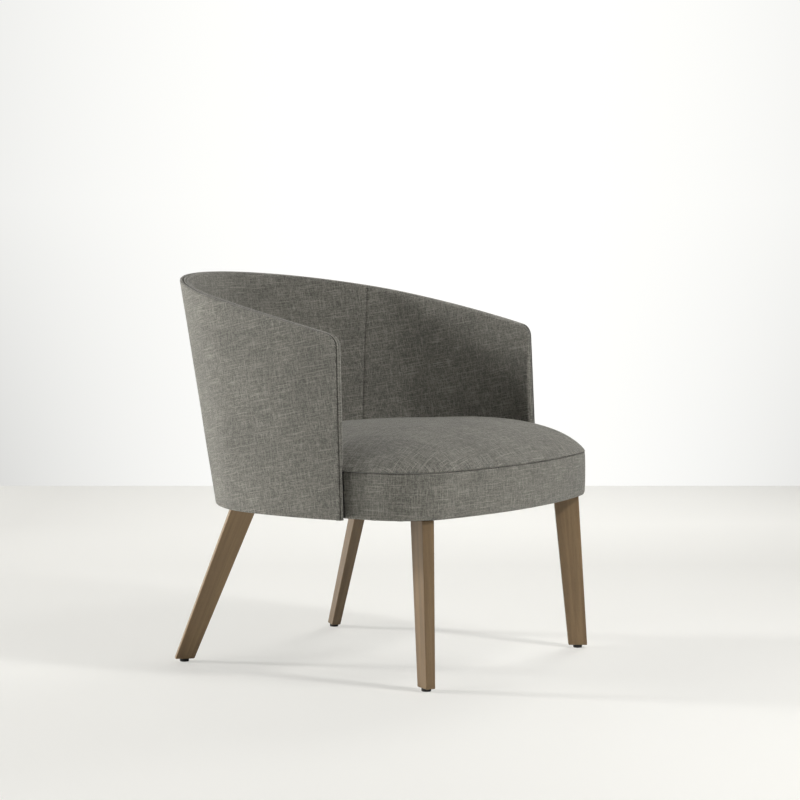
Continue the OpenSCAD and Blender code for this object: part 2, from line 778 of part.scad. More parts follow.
module glide_nails() {
    color("silver") placed() at_feet() translate([0, 0, 2.1])
        cylinder(d = glide_nail_d, h = glide_h + glide_nail_l - 2, $fn = 24);
}

outer_cover();
edge_band();
edge_gripper();
outer_wadding();
back_shell();
back_foam();
inner_cover_back();
inner_cover_left();
inner_cover_right();
seat_top_cover();
seat_boxing();
seat_wadding();
seat_foam();
seat_side_pad();
webbing_long();
webbing_cross();
rail_front();
rail_back();
rail_left();
rail_right();
corner_block_front_left();
corner_block_front_right();
corner_block_back_left();
corner_block_back_right();
block_screws();
shell_bolts();
shell_tee_nuts();
shell_spacers();
dust_cover();
dust_cover_staples();
hem_staples();
leg_front_left();
leg_front_right();
leg_back_left();
leg_back_right();
hanger_bolts();
leg_tee_nuts();
glides();
glide_nails();
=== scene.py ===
import json
import math

import bpy
import numpy as np
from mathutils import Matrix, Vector
from mathutils.kdtree import KDTree


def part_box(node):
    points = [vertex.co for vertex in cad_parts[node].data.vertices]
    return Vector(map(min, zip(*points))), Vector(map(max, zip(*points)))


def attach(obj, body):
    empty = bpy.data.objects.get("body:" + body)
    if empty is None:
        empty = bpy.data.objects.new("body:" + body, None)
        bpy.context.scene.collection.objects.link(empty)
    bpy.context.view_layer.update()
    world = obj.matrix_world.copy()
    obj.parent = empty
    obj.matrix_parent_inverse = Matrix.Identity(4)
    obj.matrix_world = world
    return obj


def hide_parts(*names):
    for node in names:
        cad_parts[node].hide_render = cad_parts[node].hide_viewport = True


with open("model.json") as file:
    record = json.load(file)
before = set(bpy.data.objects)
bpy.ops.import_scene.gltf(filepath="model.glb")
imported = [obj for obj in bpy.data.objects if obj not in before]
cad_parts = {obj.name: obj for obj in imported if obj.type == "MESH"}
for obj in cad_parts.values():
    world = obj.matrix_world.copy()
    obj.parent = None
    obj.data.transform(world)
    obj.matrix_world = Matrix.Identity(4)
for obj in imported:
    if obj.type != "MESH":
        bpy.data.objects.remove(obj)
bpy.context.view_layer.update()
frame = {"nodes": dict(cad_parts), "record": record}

# Camera and studio. The chair stands on a pale sweep of paper, seen from the sitter's right and a
# little above the arms, through a long lens.
view_turn = math.radians(57.91)
view_drop = math.radians(3.4435)
view_distance = 4.5291
view_target = Vector((0.020, -0.055, 0.4757))
toward_camera = Vector((-math.sin(view_turn) * math.cos(view_drop),
                        -math.cos(view_turn) * math.cos(view_drop), math.sin(view_drop)))
camera_data = bpy.data.cameras.new("camera")
camera_data.sensor_width = 36.0
camera_data.lens = 110.1
camera_data.clip_end = 60.0
camera = bpy.data.objects.new("camera", camera_data)
camera.location = view_target + toward_camera * view_distance
camera.rotation_euler = (-toward_camera).to_track_quat("-Z", "Y").to_euler()
bpy.context.scene.collection.objects.link(camera)
bpy.context.scene.camera = camera
bpy.context.scene.view_settings.view_transform = "Standard"


def add_node(tree, kind, inputs=None, **settings):
    made = tree.nodes.new(kind)
    for key, value in settings.items():
        setattr(made, key, value)
    for key, value in (inputs or {}).items():
        if isinstance(value, bpy.types.NodeSocket):
            tree.links.new(value, made.inputs[key])
        else:
            made.inputs[key].default_value = value
    return made


def calc(tree, operation, first, second=0.0):
    return add_node(tree, "ShaderNodeMath", {0: first, 1: second}, operation=operation).outputs[0]


def product(tree, first, *others):
    for other in others:
        first = calc(tree, "MULTIPLY", first, other)
    return first


def spread(tree, value, span, result=(0.0, 1.0), kind="LINEAR"):
    """Carries a value from one span over to another."""
    given = {0: value, 1: span[0], 2: span[1], 3: result[0], 4: result[1]}
    return add_node(tree, "ShaderNodeMapRange", given, interpolation_type=kind).outputs[0]


def noise(tree, place, scale, detail, rough=0.5, distortion=0.0, **settings):
    given = {"Vector": place, "Scale": scale, "Detail": detail, "Roughness": rough, "Distortion": distortion}
    return add_node(tree, "ShaderNodeTexNoise", given, **settings).outputs[0]


def distance_along(tree, place, direction):
    measured = add_node(tree, "ShaderNodeVectorMath", {0: place, 1: direction}, operation="DOT_PRODUCT")
    return measured.outputs["Value"]


def blend_colours(tree, share, low, high):
    return add_node(tree, "ShaderNodeMix", {0: share, 6: low, 7: high}, data_type="RGBA").outputs[2]


def new_material(name, roughness, **fixed):
    material = bpy.data.materials.new(name)
    material.use_nodes = True
    tree = material.node_tree
    shader = tree.nodes["Principled BSDF"]
    shader.inputs["Roughness"].default_value = roughness
    for key, value in fixed.items():
        shader.inputs[key.replace("_", " ")].default_value = value
    return material, tree, shader


def glow_to_camera(tree, shader, colour, strength, share=1.0):
    """Mixes a glow that only the camera sees into the lit surface."""
    rays = add_node(tree, "ShaderNodeLightPath").outputs
    seen = calc(tree, "MAXIMUM", rays["Is Camera Ray"], rays["Is Transmission Ray"])
    seen = product(tree, share, seen)
    glow = add_node(tree, "ShaderNodeEmission", {"Color": colour, "Strength": strength}).outputs[0]
    mixed = add_node(tree, "ShaderNodeMixShader", {0: seen, 1: shader.outputs[0], 2: glow}).outputs[0]
    tree.links.new(mixed, tree.nodes["Material Output"].inputs["Surface"])


across = Vector((math.cos(view_turn), -math.sin(view_turn), 0.0))
away = Vector((math.sin(view_turn), math.cos(view_turn), 0.0))
wall_distance, floor_near, stage_side, wall_height = 3.30, 7.0, 8.0, 5.0


def stage_sheet(name, corners):
    mesh = bpy.data.meshes.new(name)
    mesh.from_pydata([tuple(c) for c in corners], [], [(0, 1, 2, 3)])
    sheet = bpy.data.objects.new(name, mesh)
    bpy.context.scene.collection.objects.link(sheet)
    return sheet


up_wall = Vector((0, 0, wall_height))
far_left, far_right = (away * wall_distance + across * side for side in (-stage_side, stage_side))
near_left, near_right = (across * side - away * floor_near for side in (-stage_side, stage_side))
floor = stage_sheet("floor", (near_left, near_right, far_right, far_left))
wall = stage_sheet("wall", (far_left, far_right, far_right + up_wall, far_left + up_wall))

# The floor is pale paint. The camera also sees it glow, a painted pool of light that dims a little from the
# front to the wall and to both sides.
floor_paint_and_painted_light, floor_tree, floor_shader = new_material("floor_paint_and_painted_light", 0.55)
floor_spot = add_node(floor_tree, "ShaderNodeTexCoord").outputs["Object"]
floor_colour = blend_colours(floor_tree, noise(floor_tree, floor_spot, 0.9, 2.0),
                             (0.86, 0.86, 0.835, 1), (0.90, 0.90, 0.875, 1))
floor_tree.links.new(floor_colour, floor_shader.inputs["Base Color"])
floor_back = distance_along(floor_tree, floor_spot, away)
foot_strip = (1.3, 2.2)
floor_base = spread(floor_tree, floor_back, (-1.6, foot_strip[0]), (0.96, 0.90))
floor_strip = spread(floor_tree, floor_back, foot_strip, (0.0, 0.19))
floor_middle = spread(floor_tree, floor_back, foot_strip, (-0.22, 0.22))
floor_rate = spread(floor_tree, floor_back, (-0.3, foot_strip[1]), (0.0, 0.20))
floor_off = calc(floor_tree, "SUBTRACT", distance_along(floor_tree, floor_spot, across), floor_middle)
floor_dim = calc(floor_tree, "MINIMUM", product(floor_tree, floor_off, floor_off, floor_rate), 0.30)
painted_floor_light = calc(floor_tree, "SUBTRACT", calc(floor_tree, "ADD", floor_base, floor_strip), floor_dim)
glow_to_camera(floor_tree, floor_shader, (1.0, 0.99, 0.95, 1), painted_floor_light, 0.50)
floor.data.materials.append(floor_paint_and_painted_light)

# The wall is painted white and washed with light in its middle, which fades to its sides and foot
wall_paint, wall_tree, wall_shader = new_material("wall_paint", 0.9)
wall_shader.inputs["Base Color"].default_value = (0.8, 0.8, 0.79, 1)
wall_spot = add_node(wall_tree, "ShaderNodeTexCoord").outputs["Object"]
wash_middle, wash_reach, wash_top, wash_least = 0.18, 1.276, 0.915, 0.72
from_middle = calc(wall_tree, "SUBTRACT", distance_along(wall_tree, wall_spot, across), wash_middle)
from_middle = calc(wall_tree, "DIVIDE", from_middle, wash_reach)
wall_level = add_node(wall_tree, "ShaderNodeSeparateXYZ", {0: wall_spot}).outputs[2]
fade_rate = spread(wall_tree, wall_level, (0.0, wash_top), (0.27, 0.14))
wash = calc(wall_tree, "SUBTRACT", 1.045, product(wall_tree, from_middle, from_middle, fade_rate))
wash = calc(wall_tree, "MAXIMUM", wash, wash_least)
glow_to_camera(wall_tree, wall_shader, (1.0, 1.0, 0.978, 1), wash)
wall.data.materials.append(wall_paint)

# Lamps: a small one in front, which throws the chair's shadow back and to the left, a broad one over
# the front, a far and a near one behind on the left, and a soft high one on the right
lamps = (("lamp_front", (-0.10, -2.65, 2.10), 0.35, 43.0),
         ("lamp_over_front", (-0.10, -1.90, 3.60), 1.0, 26.0),
         ("lamp_back_left", (-3.60, 2.90, 1.50), 2.4, 56.0),
         ("lamp_far", (-3.05, 7.40, 3.70), 1.6, 480.0),
         ("lamp_right_high", (2.70, 0.20, 2.40), 1.2, 32.0))
lamp_aim = Vector((0, 0, 0.35))
for lamp_name, lamp_place, lamp_size, lamp_power in lamps:
    lamp_data = bpy.data.lights.new(lamp_name, "AREA")
    lamp_data.shape = "DISK"
    lamp_data.size = lamp_size
    lamp_data.energy = lamp_power
    lamp_data.color = (1.0, 0.985, 0.955)
    lamp = bpy.data.objects.new(lamp_name, lamp_data)
    lamp.location = lamp_place
    lamp.rotation_euler = (lamp_aim - Vector(lamp_place)).to_track_quat("-Z", "Y").to_euler()
    bpy.context.scene.collection.objects.link(lamp)
# The world gives no light. It only shows the camera a pale room past the wall's edges.
world = bpy.data.worlds.new("studio")
world.use_nodes = True
room = world.node_tree
room_light = room.nodes["Background"]
room_light.inputs["Strength"].default_value = 0.0
room_seen = add_node(room, "ShaderNodeBackground", {"Color": (0.93, 0.93, 0.91, 1), "Strength": 1.0})
room_rays = add_node(room, "ShaderNodeLightPath").outputs["Is Camera Ray"]
room_mix = add_node(room, "ShaderNodeMixShader", {0: room_rays, 1: room_light.outputs[0],
                                                  2: room_seen.outputs[0]})
room.links.new(room_mix.outputs[0], room.nodes["World Output"].inputs["Surface"])
bpy.context.scene.world = world

# Shape of the shell. In plan it is a three-centre curve, and its walls run straight along a line
# that leans back. Its rim and the arms' front edges are cut by one outline seen from the side.
half_width = 0.350
underside = 0.292
rake = math.radians(11.1)
lean_cos, lean_sin = math.cos(rake), math.sin(rake)
back_reach = 0.316
corner_radius, arm_radius = 0.184, 0.612
back_end, corner_end = math.radians(56), math.radians(74)
back_radius = corner_radius + (half_width - arm_radius + (arm_radius - corner_radius)
                               * math.sin(corner_end)) / math.sin(back_end)
seat_reach = 0.2946
middle_y = -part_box("seat_top_cover")[0].y - seat_reach


def compass(angle):
    return np.stack([np.sin(angle), np.cos(angle)], -1)


back_centre = np.array([0.0, back_reach - back_radius])
corner_centre = back_centre + (back_radius - corner_radius) * compass(np.array(back_end))
arm_centre = corner_centre + (corner_radius - arm_radius) * compass(np.array(corner_end))
wall_centres = np.array([back_centre, corner_centre, arm_centre])
wall_radii = np.array([back_radius, corner_radius, arm_radius])
arm_reach, arm_lean = 0.110, math.radians(2.3)
arm_corner = 0.025
rim_radius, rim_slope, rim_rise = 6.1, math.radians(13.5), 0.338
rim_centre = np.array([rim_radius * math.sin(rim_slope),
                       underside + rim_rise - rim_radius * math.cos(rim_slope)])
front_inward = np.array([math.cos(arm_lean), -math.sin(arm_lean)])
front_up = np.array([math.sin(arm_lean), math.cos(arm_lean)])
front_low = np.array([-arm_reach, underside])
to_corner = front_low + front_inward * arm_corner - rim_centre
climb = to_corner @ front_up
climb = math.sqrt(climb ** 2 - to_corner @ to_corner + (rim_radius - arm_corner) ** 2) - climb
arm_corner_centre = rim_centre + to_corner + front_up * climb
corner_last = math.atan2(*(arm_corner_centre - rim_centre))
corner_first = arm_lean - math.pi / 2


def wall_length(depth):
    """Lengths along the wall from the middle of the back to the ends of its first two curves."""
    first = back_end * (back_radius - depth)
    return first, first + (corner_end - back_end) * (corner_radius - depth)


def wall_turn(length, depth):
    first, second = wall_length(depth)
    turn = np.where(length < second, back_end + (length - first) / (corner_radius - depth),
                    corner_end + (length - second) / (arm_radius - depth))
    return np.where(length < first, length / (back_radius - depth), turn)


def wall_span(turn, depth):
    first, second = wall_length(depth)
    span = np.where(turn < corner_end, first + (turn - back_end) * (corner_radius - depth),
                    second + (turn - corner_end) * (arm_radius - depth))
    return np.where(turn < back_end, turn * (back_radius - depth), span)


def wall_section(turn, depth):
    """The wall's points at an angle from the back, square to its lean."""
    index = np.where(turn < back_end, 0, np.where(turn < corner_end, 1, 2))
    return wall_centres[index] + (wall_radii[index] - depth)[..., None] * compass(turn)


def leaning(section, along):
    """Turns a place in the leaning section, and a distance along the lean, into a place in the room."""
    x, v = section[..., 0], section[..., 1]
    return np.stack([x, v * lean_cos + along * lean_sin - middle_y,
                     underside - v * lean_sin + along * lean_cos], -1)


def along_at(section, height):
    return (height - underside + section[..., 1] * lean_sin) / lean_cos


def place_on_wall(length, along, depth, sink=0.0):
    return leaning(wall_section(wall_turn(length, depth), depth + sink), along)


def rim_along(section, inset):
    """Distance along the lean at which the wall meets the rim, drawn in by inset."""
    start_y = section[..., 1] * lean_cos - rim_centre[0]
    start_z = underside - section[..., 1] * lean_sin - rim_centre[1]
    on = start_y * lean_sin + start_z * lean_cos
    return np.sqrt(on ** 2 - start_y ** 2 - start_z ** 2 + (rim_radius - inset) ** 2) - on


def from_side(outline, depth):
    """Wall length and distance along the lean of places given in the side view, near the arms' front."""
    rise = outline[..., 1] - underside
    v = outline[..., 0] * lean_cos - rise * lean_sin
    along = outline[..., 0] * lean_sin + rise * lean_cos
    turn = np.arctan2(np.sqrt((arm_radius - depth) ** 2 - (v - arm_centre[1]) ** 2), v - arm_centre[1])
    return wall_span(turn, depth), along


def arm_front(shares, depth, inset, foot):
    """The arm's front edge from height foot up to the middle of its rounded top corner."""
    count = len(shares)
    radius = arm_corner - np.asarray(inset)
    middle = (corner_first + corner_last) / 2
    run = climb - (foot - underside)
    bend = (middle - corner_first) * arm_corner
    at = shares * (run + bend)
    angle = corner_first + np.clip(at - run, 0, bend) / arm_corner
    straight = front_low + front_inward * np.broadcast_to(inset, count)[:, None] + front_up * (
        np.minimum(at, run) + foot - underside)[:, None]
    curved = arm_corner_centre + np.broadcast_to(radius, count)[:, None] * compass(angle)
    return from_side(np.where((at < run)[:, None], straight, curved), depth)


def rim_line(shares, depth, inset, last=0.0):
    """The rim from the middle of the arm's rounded top corner round to wall length last."""
    count = len(shares)
    middle = (corner_first + corner_last) / 2
    inset = np.broadcast_to(inset, count)
    bend = (corner_last - middle) * arm_corner
    depth_here = np.broadcast_to(depth, count)
    end = rim_centre + (rim_radius - inset[0]) * compass(np.array(corner_last))
    start, _ = from_side(end, depth_here[0])
    at = shares * (bend + start - last)
    curved = arm_corner_centre + (arm_corner - inset)[:, None] * compass(
        middle + np.minimum(at, bend) / arm_corner)
    bend_length, bend_along = from_side(curved, depth_here)
    length = start - np.maximum(at - bend, 0)
    section = wall_section(wall_turn(length, depth_here), depth_here)
    on_bend = at < bend
    return np.where(on_bend, bend_length, length), np.where(on_bend, bend_along, rim_along(section, inset))


def coons(bottom, top, left, right, across, up):
    """Fills the space between four lines of flat points at the shares across and up."""
    s = across[None, :, None]
    t = up[:, None, None]
    corners = ((1 - s) * (1 - t) * bottom[0] + s * (1 - t) * bottom[-1]
               + (1 - s) * t * top[0] + s * t * top[-1])
    return (1 - t) * bottom[None] + t * top[None] + (1 - s) * left[:, None] + s * right[:, None] - corners


def ripple(x, y, size, seed):
    """A smooth unevenness between -1 and 1, about size across, the same on each run."""
    total = 0.0
    for k in range(5):
        angle = seed * 1.7 + k * 2.4
        scale = (1 + 0.37 * k) * 2 * math.pi / (size * 2.2)
        total = total + np.sin(scale * (x * math.cos(angle) + y * math.sin(angle)) + seed * 3.1 + k * 1.3)
    return total / 3.2


def make_piece(name, points, faces, cloth_uv, centre, outwards, painted_shade=None):
    """A mesh piece whose faces look away from centre, or towards it. crease holds painted shade, 1 for the
    darkest shade in a seam or groove.
    """
    points = np.asarray(points, float)
    faces = [tuple(f) for f in faces]
    corners = points[[f[0] for f in faces]], points[[f[1] for f in faces]], points[[f[2] for f in faces]]
    normals = np.cross(corners[1] - corners[0], corners[2] - corners[0])
    facing = float(((corners[0] - np.array(centre)) * normals).sum())
    if (facing > 0) != outwards:
        faces = [f[::-1] for f in faces]
    mesh = bpy.data.meshes.new(name)
    mesh.from_pydata([tuple(p) for p in points], [], faces)
    mesh.shade_smooth()
    layer = mesh.uv_layers.new(name="cloth")
    loop_points = np.zeros(len(mesh.loops), np.int32)
    mesh.loops.foreach_get("vertex_index", loop_points)
    layer.data.foreach_set("uv", np.asarray(cloth_uv, np.float32)[loop_points].ravel())
    if painted_shade is not None:
        painted_shade_layer = mesh.attributes.new("painted_shade", "FLOAT", "POINT")
        painted_shade_layer.data.foreach_set("value", np.asarray(painted_shade, np.float32))
    piece = bpy.data.objects.new(name, mesh)
    bpy.context.scene.collection.objects.link(piece)
    return piece


def grid_faces(index):
    """Quads over a grid of point numbers."""
    a, b, c, d = index[:-1, :-1], index[:-1, 1:], index[1:, 1:], index[1:, :-1]
    return np.stack([a, b, c, d], -1).reshape(-1, 4)


# Upholstery cloth: a slub weave of light and dark grey yarns, about nine threads to the centimetre.
# Its pattern runs in the cloth's own lengths, which each cover carries as its map.
slub_cloth = bpy.data.node_groups.new("slub_cloth", "ShaderNodeTree")
cloth_sockets = {"INPUT": (("Place", "Vector"), ("Thread", "Float"), ("Light", "Color"), ("Middle", "Color"),
                           ("Dark", "Color")),
                 "OUTPUT": (("Color", "Color"), ("Roughness", "Float"), ("Height", "Float"))}
for direction, sockets in cloth_sockets.items():
    for socket_name, socket_kind in sockets:
        slub_cloth.interface.new_socket(socket_name, in_out=direction, socket_type="NodeSocket" + socket_kind)
group_in = slub_cloth.nodes.new("NodeGroupInput").outputs
group_out = slub_cloth.nodes.new("NodeGroupOutput")
split = add_node(slub_cloth, "ShaderNodeSeparateXYZ", {0: group_in["Place"]})
wander = noise(slub_cloth, group_in["Place"], 45.0, 1.0, noise_dimensions="2D")
wander = product(slub_cloth, calc(slub_cloth, "SUBTRACT", wander, 0.5), 0.0016)
threads = {}
for yarn, axis, other in (("warp", 0, 1), ("weft", 1, 0)):
    shifted = calc(slub_cloth, "ADD", split.outputs[axis], wander)
    counted = calc(slub_cloth, "DIVIDE", shifted, group_in["Thread"])
    number = calc(slub_cloth, "FLOOR", counted)
    share = calc(slub_cloth, "SUBTRACT", counted, number)
    hump = calc(slub_cloth, "SINE", product(slub_cloth, share, math.pi))
    threads[yarn] = {"number": number, "hump": hump, "along": split.outputs[other]}
crossing = calc(slub_cloth, "ADD", threads["warp"]["number"], threads["weft"]["number"])
crossing = calc(slub_cloth, "COSINE", product(slub_cloth, crossing, math.pi))


def yarn_noise(yarn, long, wide, layer, detail, rough):
    """Noise drawn out along a yarn, other from yarn to yarn."""
    place = add_node(slub_cloth, "ShaderNodeCombineXYZ", {
        0: product(slub_cloth, yarn["along"], long), 1: product(slub_cloth, yarn["number"], wide), 2: layer})
    return noise(slub_cloth, place.outputs[0], 1.0, detail, rough)


# Each yarn has thick, light places, its slubs, and rises over and dips under the other in turn. Rows: yarn,
# other yarn, rise, the slubs' rate along and across, where they start, how light they get, noise layers
for yarn, other, sign, slub_long, slub_wide, slub_from, slub_most, streak_layer, fibre_layer in (
        ("warp", "weft", -0.45, 38.0, 0.78, 0.56, 0.72, 3.0, 1.0),
        ("weft", "warp", 0.45, 17.0, 0.74, 0.57, 0.80, 8.0, 6.0)):
    one = threads[yarn]
    wave = product(slub_cloth, crossing, threads[other]["hump"], sign)
    streak = yarn_noise(one, slub_long, slub_wide, streak_layer, 2.0, 0.55)
    fibre = yarn_noise(one, 160.0, 3.37, fibre_layer, 1.0, 0.5)
    one["slub"] = spread(slub_cloth, streak, (slub_from, slub_from + 0.12), (0.0, slub_most), "SMOOTHSTEP")
    one["tone"] = calc(slub_cloth, "ADD", product(slub_cloth, streak, 0.5), product(slub_cloth, fibre, 0.5))
    fat = calc(slub_cloth, "ADD", one["hump"], product(slub_cloth, one["slub"], 0.5))
    one["height"] = calc(slub_cloth, "ADD", fat, wave)
for one in threads.values():
    dark_light = spread(slub_cloth, one["tone"], (0.42, 0.57), kind="SMOOTHSTEP")
    one["colour"] = blend_colours(slub_cloth, dark_light, group_in["Dark"], group_in["Middle"])
    one["colour"] = blend_colours(slub_cloth, one["slub"], one["colour"], group_in["Light"])


def scaled_colour(tree, colour, share):
    return add_node(tree, "ShaderNodeVectorMath", {0: colour, 3: share}, operation="SCALE").outputs[0]


weft_shows = calc(slub_cloth, "GREATER_THAN", threads["weft"]["height"], threads["warp"]["height"])
cloth_colour = blend_colours(slub_cloth, weft_shows, threads["warp"]["colour"], threads["weft"]["colour"])
patch = noise(slub_cloth, group_in["Place"], 11.0, 2.0, noise_dimensions="2D")
cloth_colour = scaled_colour(slub_cloth, cloth_colour, spread(slub_cloth, patch, (0.3, 0.7), (0.90, 1.06)))
cloth_height = calc(slub_cloth, "MAXIMUM", threads["warp"]["height"], threads["weft"]["height"])
cloth_rough = spread(slub_cloth, cloth_height, (0.0, 1.6), (0.95, 0.80))
for socket_name, result in (("Color", cloth_colour), ("Roughness", cloth_rough), ("Height", cloth_height)):
    slub_cloth.links.new(result, group_out.inputs[socket_name])
thread_pitch = 0.00115


def add_bump(tree, shader, height, strength, rise):
    bump = add_node(tree, "ShaderNodeBump", {"Height": height, "Strength": strength, "Distance": rise})
    tree.links.new(bump.outputs[0], shader.inputs["Normal"])


def cloth_material(name, light, middle, dark):
    material, tree, shader = new_material(name, 0.9, Sheen_Weight=0.22, Sheen_Roughness=0.5)
    place = add_node(tree, "ShaderNodeUVMap", uv_map="cloth").outputs[0]
    weave = add_node(tree, "ShaderNodeGroup", node_tree=slub_cloth)
    tree.links.new(place, weave.inputs["Place"])
    weave.inputs["Thread"].default_value = thread_pitch
    for key, value in (("Light", light), ("Middle", middle), ("Dark", dark)):
        weave.inputs[key].default_value = (*value, 1.0)
    # Painted shade: the crease attribute darkens the cloth's colour down to 0.12 of itself in seams, grooves
    # and gaps.
    painted_shade = add_node(tree, "ShaderNodeAttribute", attribute_name="painted_shade").outputs["Fac"]
    colour_with_painted_shade = scaled_colour(tree, weave.outputs["Color"], spread(tree, painted_shade, (0.0, 1.0), (1.0, 0.12)))
    tree.links.new(colour_with_painted_shade, shader.inputs["Base Color"])
    tree.links.new(weave.outputs["Roughness"], shader.inputs["Roughness"])
    add_bump(tree, shader, weave.outputs["Height"], 0.75, 0.00035)
    return material


cover_cloth = cloth_material("grey_slub_cloth", (0.415, 0.401, 0.347), (0.284, 0.276, 0.243),
                             (0.116, 0.113, 0.100))


def thicken(piece, thickness):
    wall = piece.modifiers.new("thickness", "SOLIDIFY")
    wall.thickness = thickness
    wall.offset = -1.0


def declare(piece, node, material=None):
    """Hides the CAD node that a piece stands in for, gives it its material and makes it move with the chair.
    """
    if material:
        piece.data.materials.append(material)
    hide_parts(node)
    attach(piece, "root")


def finish_cover(piece, thickness, node):
    """Gives a cloth sheet its thickness and finish."""
    thicken(piece, thickness)
    declare(piece, node, cover_cloth)


# Outside cover of the shell: one piece of cloth round the back and both arms, folded over the rim and
# down the arms' front edges, and turned in and stapled under the plywood's lower edge.
up_shares = np.linspace(0, 1, 85)
round_shares = np.linspace(0, 1, 171)
shell_centre = (0.0, 0.03, 0.45)
hem_lift = 0.0022


def middle_line(depth, inset, foot, shares):
    """A line up the middle of the back, as lengths and distances along the lean."""
    middle = wall_section(np.zeros(1), depth)
    line = along_at(middle, foot) * (1 - shares) + rim_along(middle, inset) * shares
    return np.stack([0 * shares, line], -1)


def wall_patch(depth, inset, foot, left, across, up):
    """Flat grid between a line up the wall and the arm's front, as lengths and distances along the lean."""
    right = np.stack(arm_front(up, depth, inset, foot), -1)
    top = np.stack(rim_line(1 - across[::-1], depth, inset, left[-1, 0]), -1)[::-1]
    lengths = left[0, 0] + across * (right[0, 0] - left[0, 0])
    bottom = np.stack([lengths, along_at(wall_section(wall_turn(lengths, depth), depth), foot)], -1)
    return coons(bottom, top, left, right, across, up)


lip_inset = 0.0050
cover_foot = underside + hem_lift
outer_flat = wall_patch(0.0, lip_inset, cover_foot, middle_line(0.0, lip_inset, cover_foot, up_shares),
                        round_shares, up_shares)
calm_border, outer_wave, outer_wave_length = 0.03, 0.0004, 0.16
edge_near = np.minimum(1.0, (outer_flat[-1:, :, 1] - outer_flat[..., 1]) / calm_border)
outer_waves = ripple(outer_flat[..., 0], outer_flat[..., 1], outer_wave_length, 1.0)
outer_sink = outer_wave * outer_waves * edge_near + 0.0002
outer_half = place_on_wall(outer_flat[..., 0], outer_flat[..., 1], 0.0, outer_sink)
flip = np.array([-1.0, 1.0, 1.0])


def whole(half):
    """A row-by-row grid for both sides, from the right arm round to the left, from that of the left side."""
    return np.concatenate([half[:, :0:-1] * flip[:half.shape[2]], half], 1)


def whole_line(half):
    return np.concatenate([half * flip[:half.shape[1]], half[-2::-1]], 0)


def ease(share):
    """A share from 0 to 1 that starts and ends gently."""
    share = np.clip(share, 0, 1)
    return share * share * (3 - 2 * share)


def edge_line(depth, inset, foot):
    """One line along half the edge of the shell: up the left arm and round the rim to the middle."""
    rows = len(up_shares)
    up = arm_front(up_shares, depth[:rows], inset[:rows], foot)
    round_rim = rim_line(round_shares, depth[rows - 1:], inset[rows - 1:])
    length = np.concatenate([up[0], round_rim[0][1:]])
    along = np.concatenate([up[1], round_rim[1][1:]])
    turn = np.where(length > 0, wall_turn(length, depth), 0)
    return leaning(wall_section(turn, depth), along), np.stack([length, along], -1)


edge_count = len(up_shares) + len(round_shares) - 1
index = np.arange(outer_flat.shape[0] * (2 * len(round_shares) - 1)).reshape(len(up_shares), -1)
path = np.concatenate([index[:, 0], index[-1, 1:], index[-2::-1, -1]])
points = [whole(outer_half).reshape(-1, 3)]
maps = [whole(outer_flat).reshape(-1, 2)]
painted_shades = [np.zeros(index.size)]
faces = [grid_faces(index)]
# The fold is narrow on the arms' fronts and wider on the rim. It ends in the groove, then turns down
# over the gripper strip. Rows: share of the fold's width, distance below the edge, painted shade in the
# groove
fold_narrow, fold_widening, widening_points = 0.0021, 0.0035, 40
groove_wide, groove_narrowing = 0.0024, 0.0011
rim_share = ease((np.arange(edge_count) - len(up_shares) + 1) / widening_points)
groove = fold_narrow + fold_widening * rim_share
groove_end = groove + groove_wide - groove_narrowing * rim_share
lip_profile = ((0.01, 0.0034, 0.0), (0.05, 0.0022, 0.0), (0.14, 0.0012, 0.0), (0.29, 0.0005, 0.0),
               (0.48, 0.0002, 0.0), (0.67, 0.0003, 0.0), (0.82, 0.0006, 0.0), (0.90, 0.0010, 0.4),
               (0.94, 0.0014, 1.0), (0.86, 0.0018, 1.0), (None, 0.0026, 1.0), (None, 0.0090, 1.0))
tuck_depth = 0.0024
lips = [path]
total = index.size
for lip_place, lip_in, lip_painted_shade in lip_profile:
    lip_depth = np.full(edge_count, tuck_depth) if lip_place is None else lip_place * groove
    line, flat = edge_line(lip_depth, np.full(edge_count, lip_in), cover_foot)
    points.append(whole_line(line))
    maps.append(whole_line(flat) + np.array([0.0, lip_depth.max()]))
    painted_shades.append(np.full(len(path), lip_painted_shade))
    lips.append(np.arange(total, total + len(path)))
    total += len(path)
faces.append(grid_faces(np.array(lips)))
# The hem turns in under the plywood. Rows: distance inwards, distance down
hem_profile = ((0.0003, 0.0014), (0.0011, 0.0020), (0.0030, 0.0022), (0.0130, 0.0020))
bottom_line = np.concatenate([[lip[0] for lip in lips[:0:-1]], index[0], [lip[-1] for lip in lips[1:]]])
bottom_points = np.concatenate(points)[bottom_line]
bottom_map = np.concatenate(maps)[bottom_line]
foot_turn = wall_turn(outer_flat[0, :, 0], 0.0)
step_in = wall_section(foot_turn, 1.0) - wall_section(foot_turn, 0.0)
step_in = np.stack([step_in[:, 0], step_in[:, 1] / lean_cos, 0 * step_in[:, 0]], -1)
step_in = np.pad(whole(step_in[None])[0], ((len(lip_profile), len(lip_profile)), (0, 0)), "edge")
hem_rows = [bottom_line]
for hem_in, hem_down in hem_profile:
    points.append(bottom_points + step_in * hem_in - np.array([0, 0, hem_down]))
    maps.append(bottom_map - np.array([0.0, hem_in + hem_down]))
    painted_shades.append(np.zeros(len(bottom_line)))
    hem_rows.append(np.arange(total, total + len(bottom_line)))
    total += len(bottom_line)
faces.append(grid_faces(np.array(hem_rows)[::-1]))
outside_cover = make_piece("outside_cover", np.concatenate(points), np.concatenate(faces),
                           np.concatenate(maps), shell_centre, True, np.concatenate(painted_shades))
finish_cover(outside_cover, 0.0008, "outer_cover")

# Edge binding: a strip of the same cloth along the arms' fronts and the whole rim, sewn as two low
# rolls side by side. It lies in a narrow groove behind the outside cover's fold.
full_depth, thin_depth, edge_fall = 0.0201, 0.0138, 0.0011
foam_end = 0.390
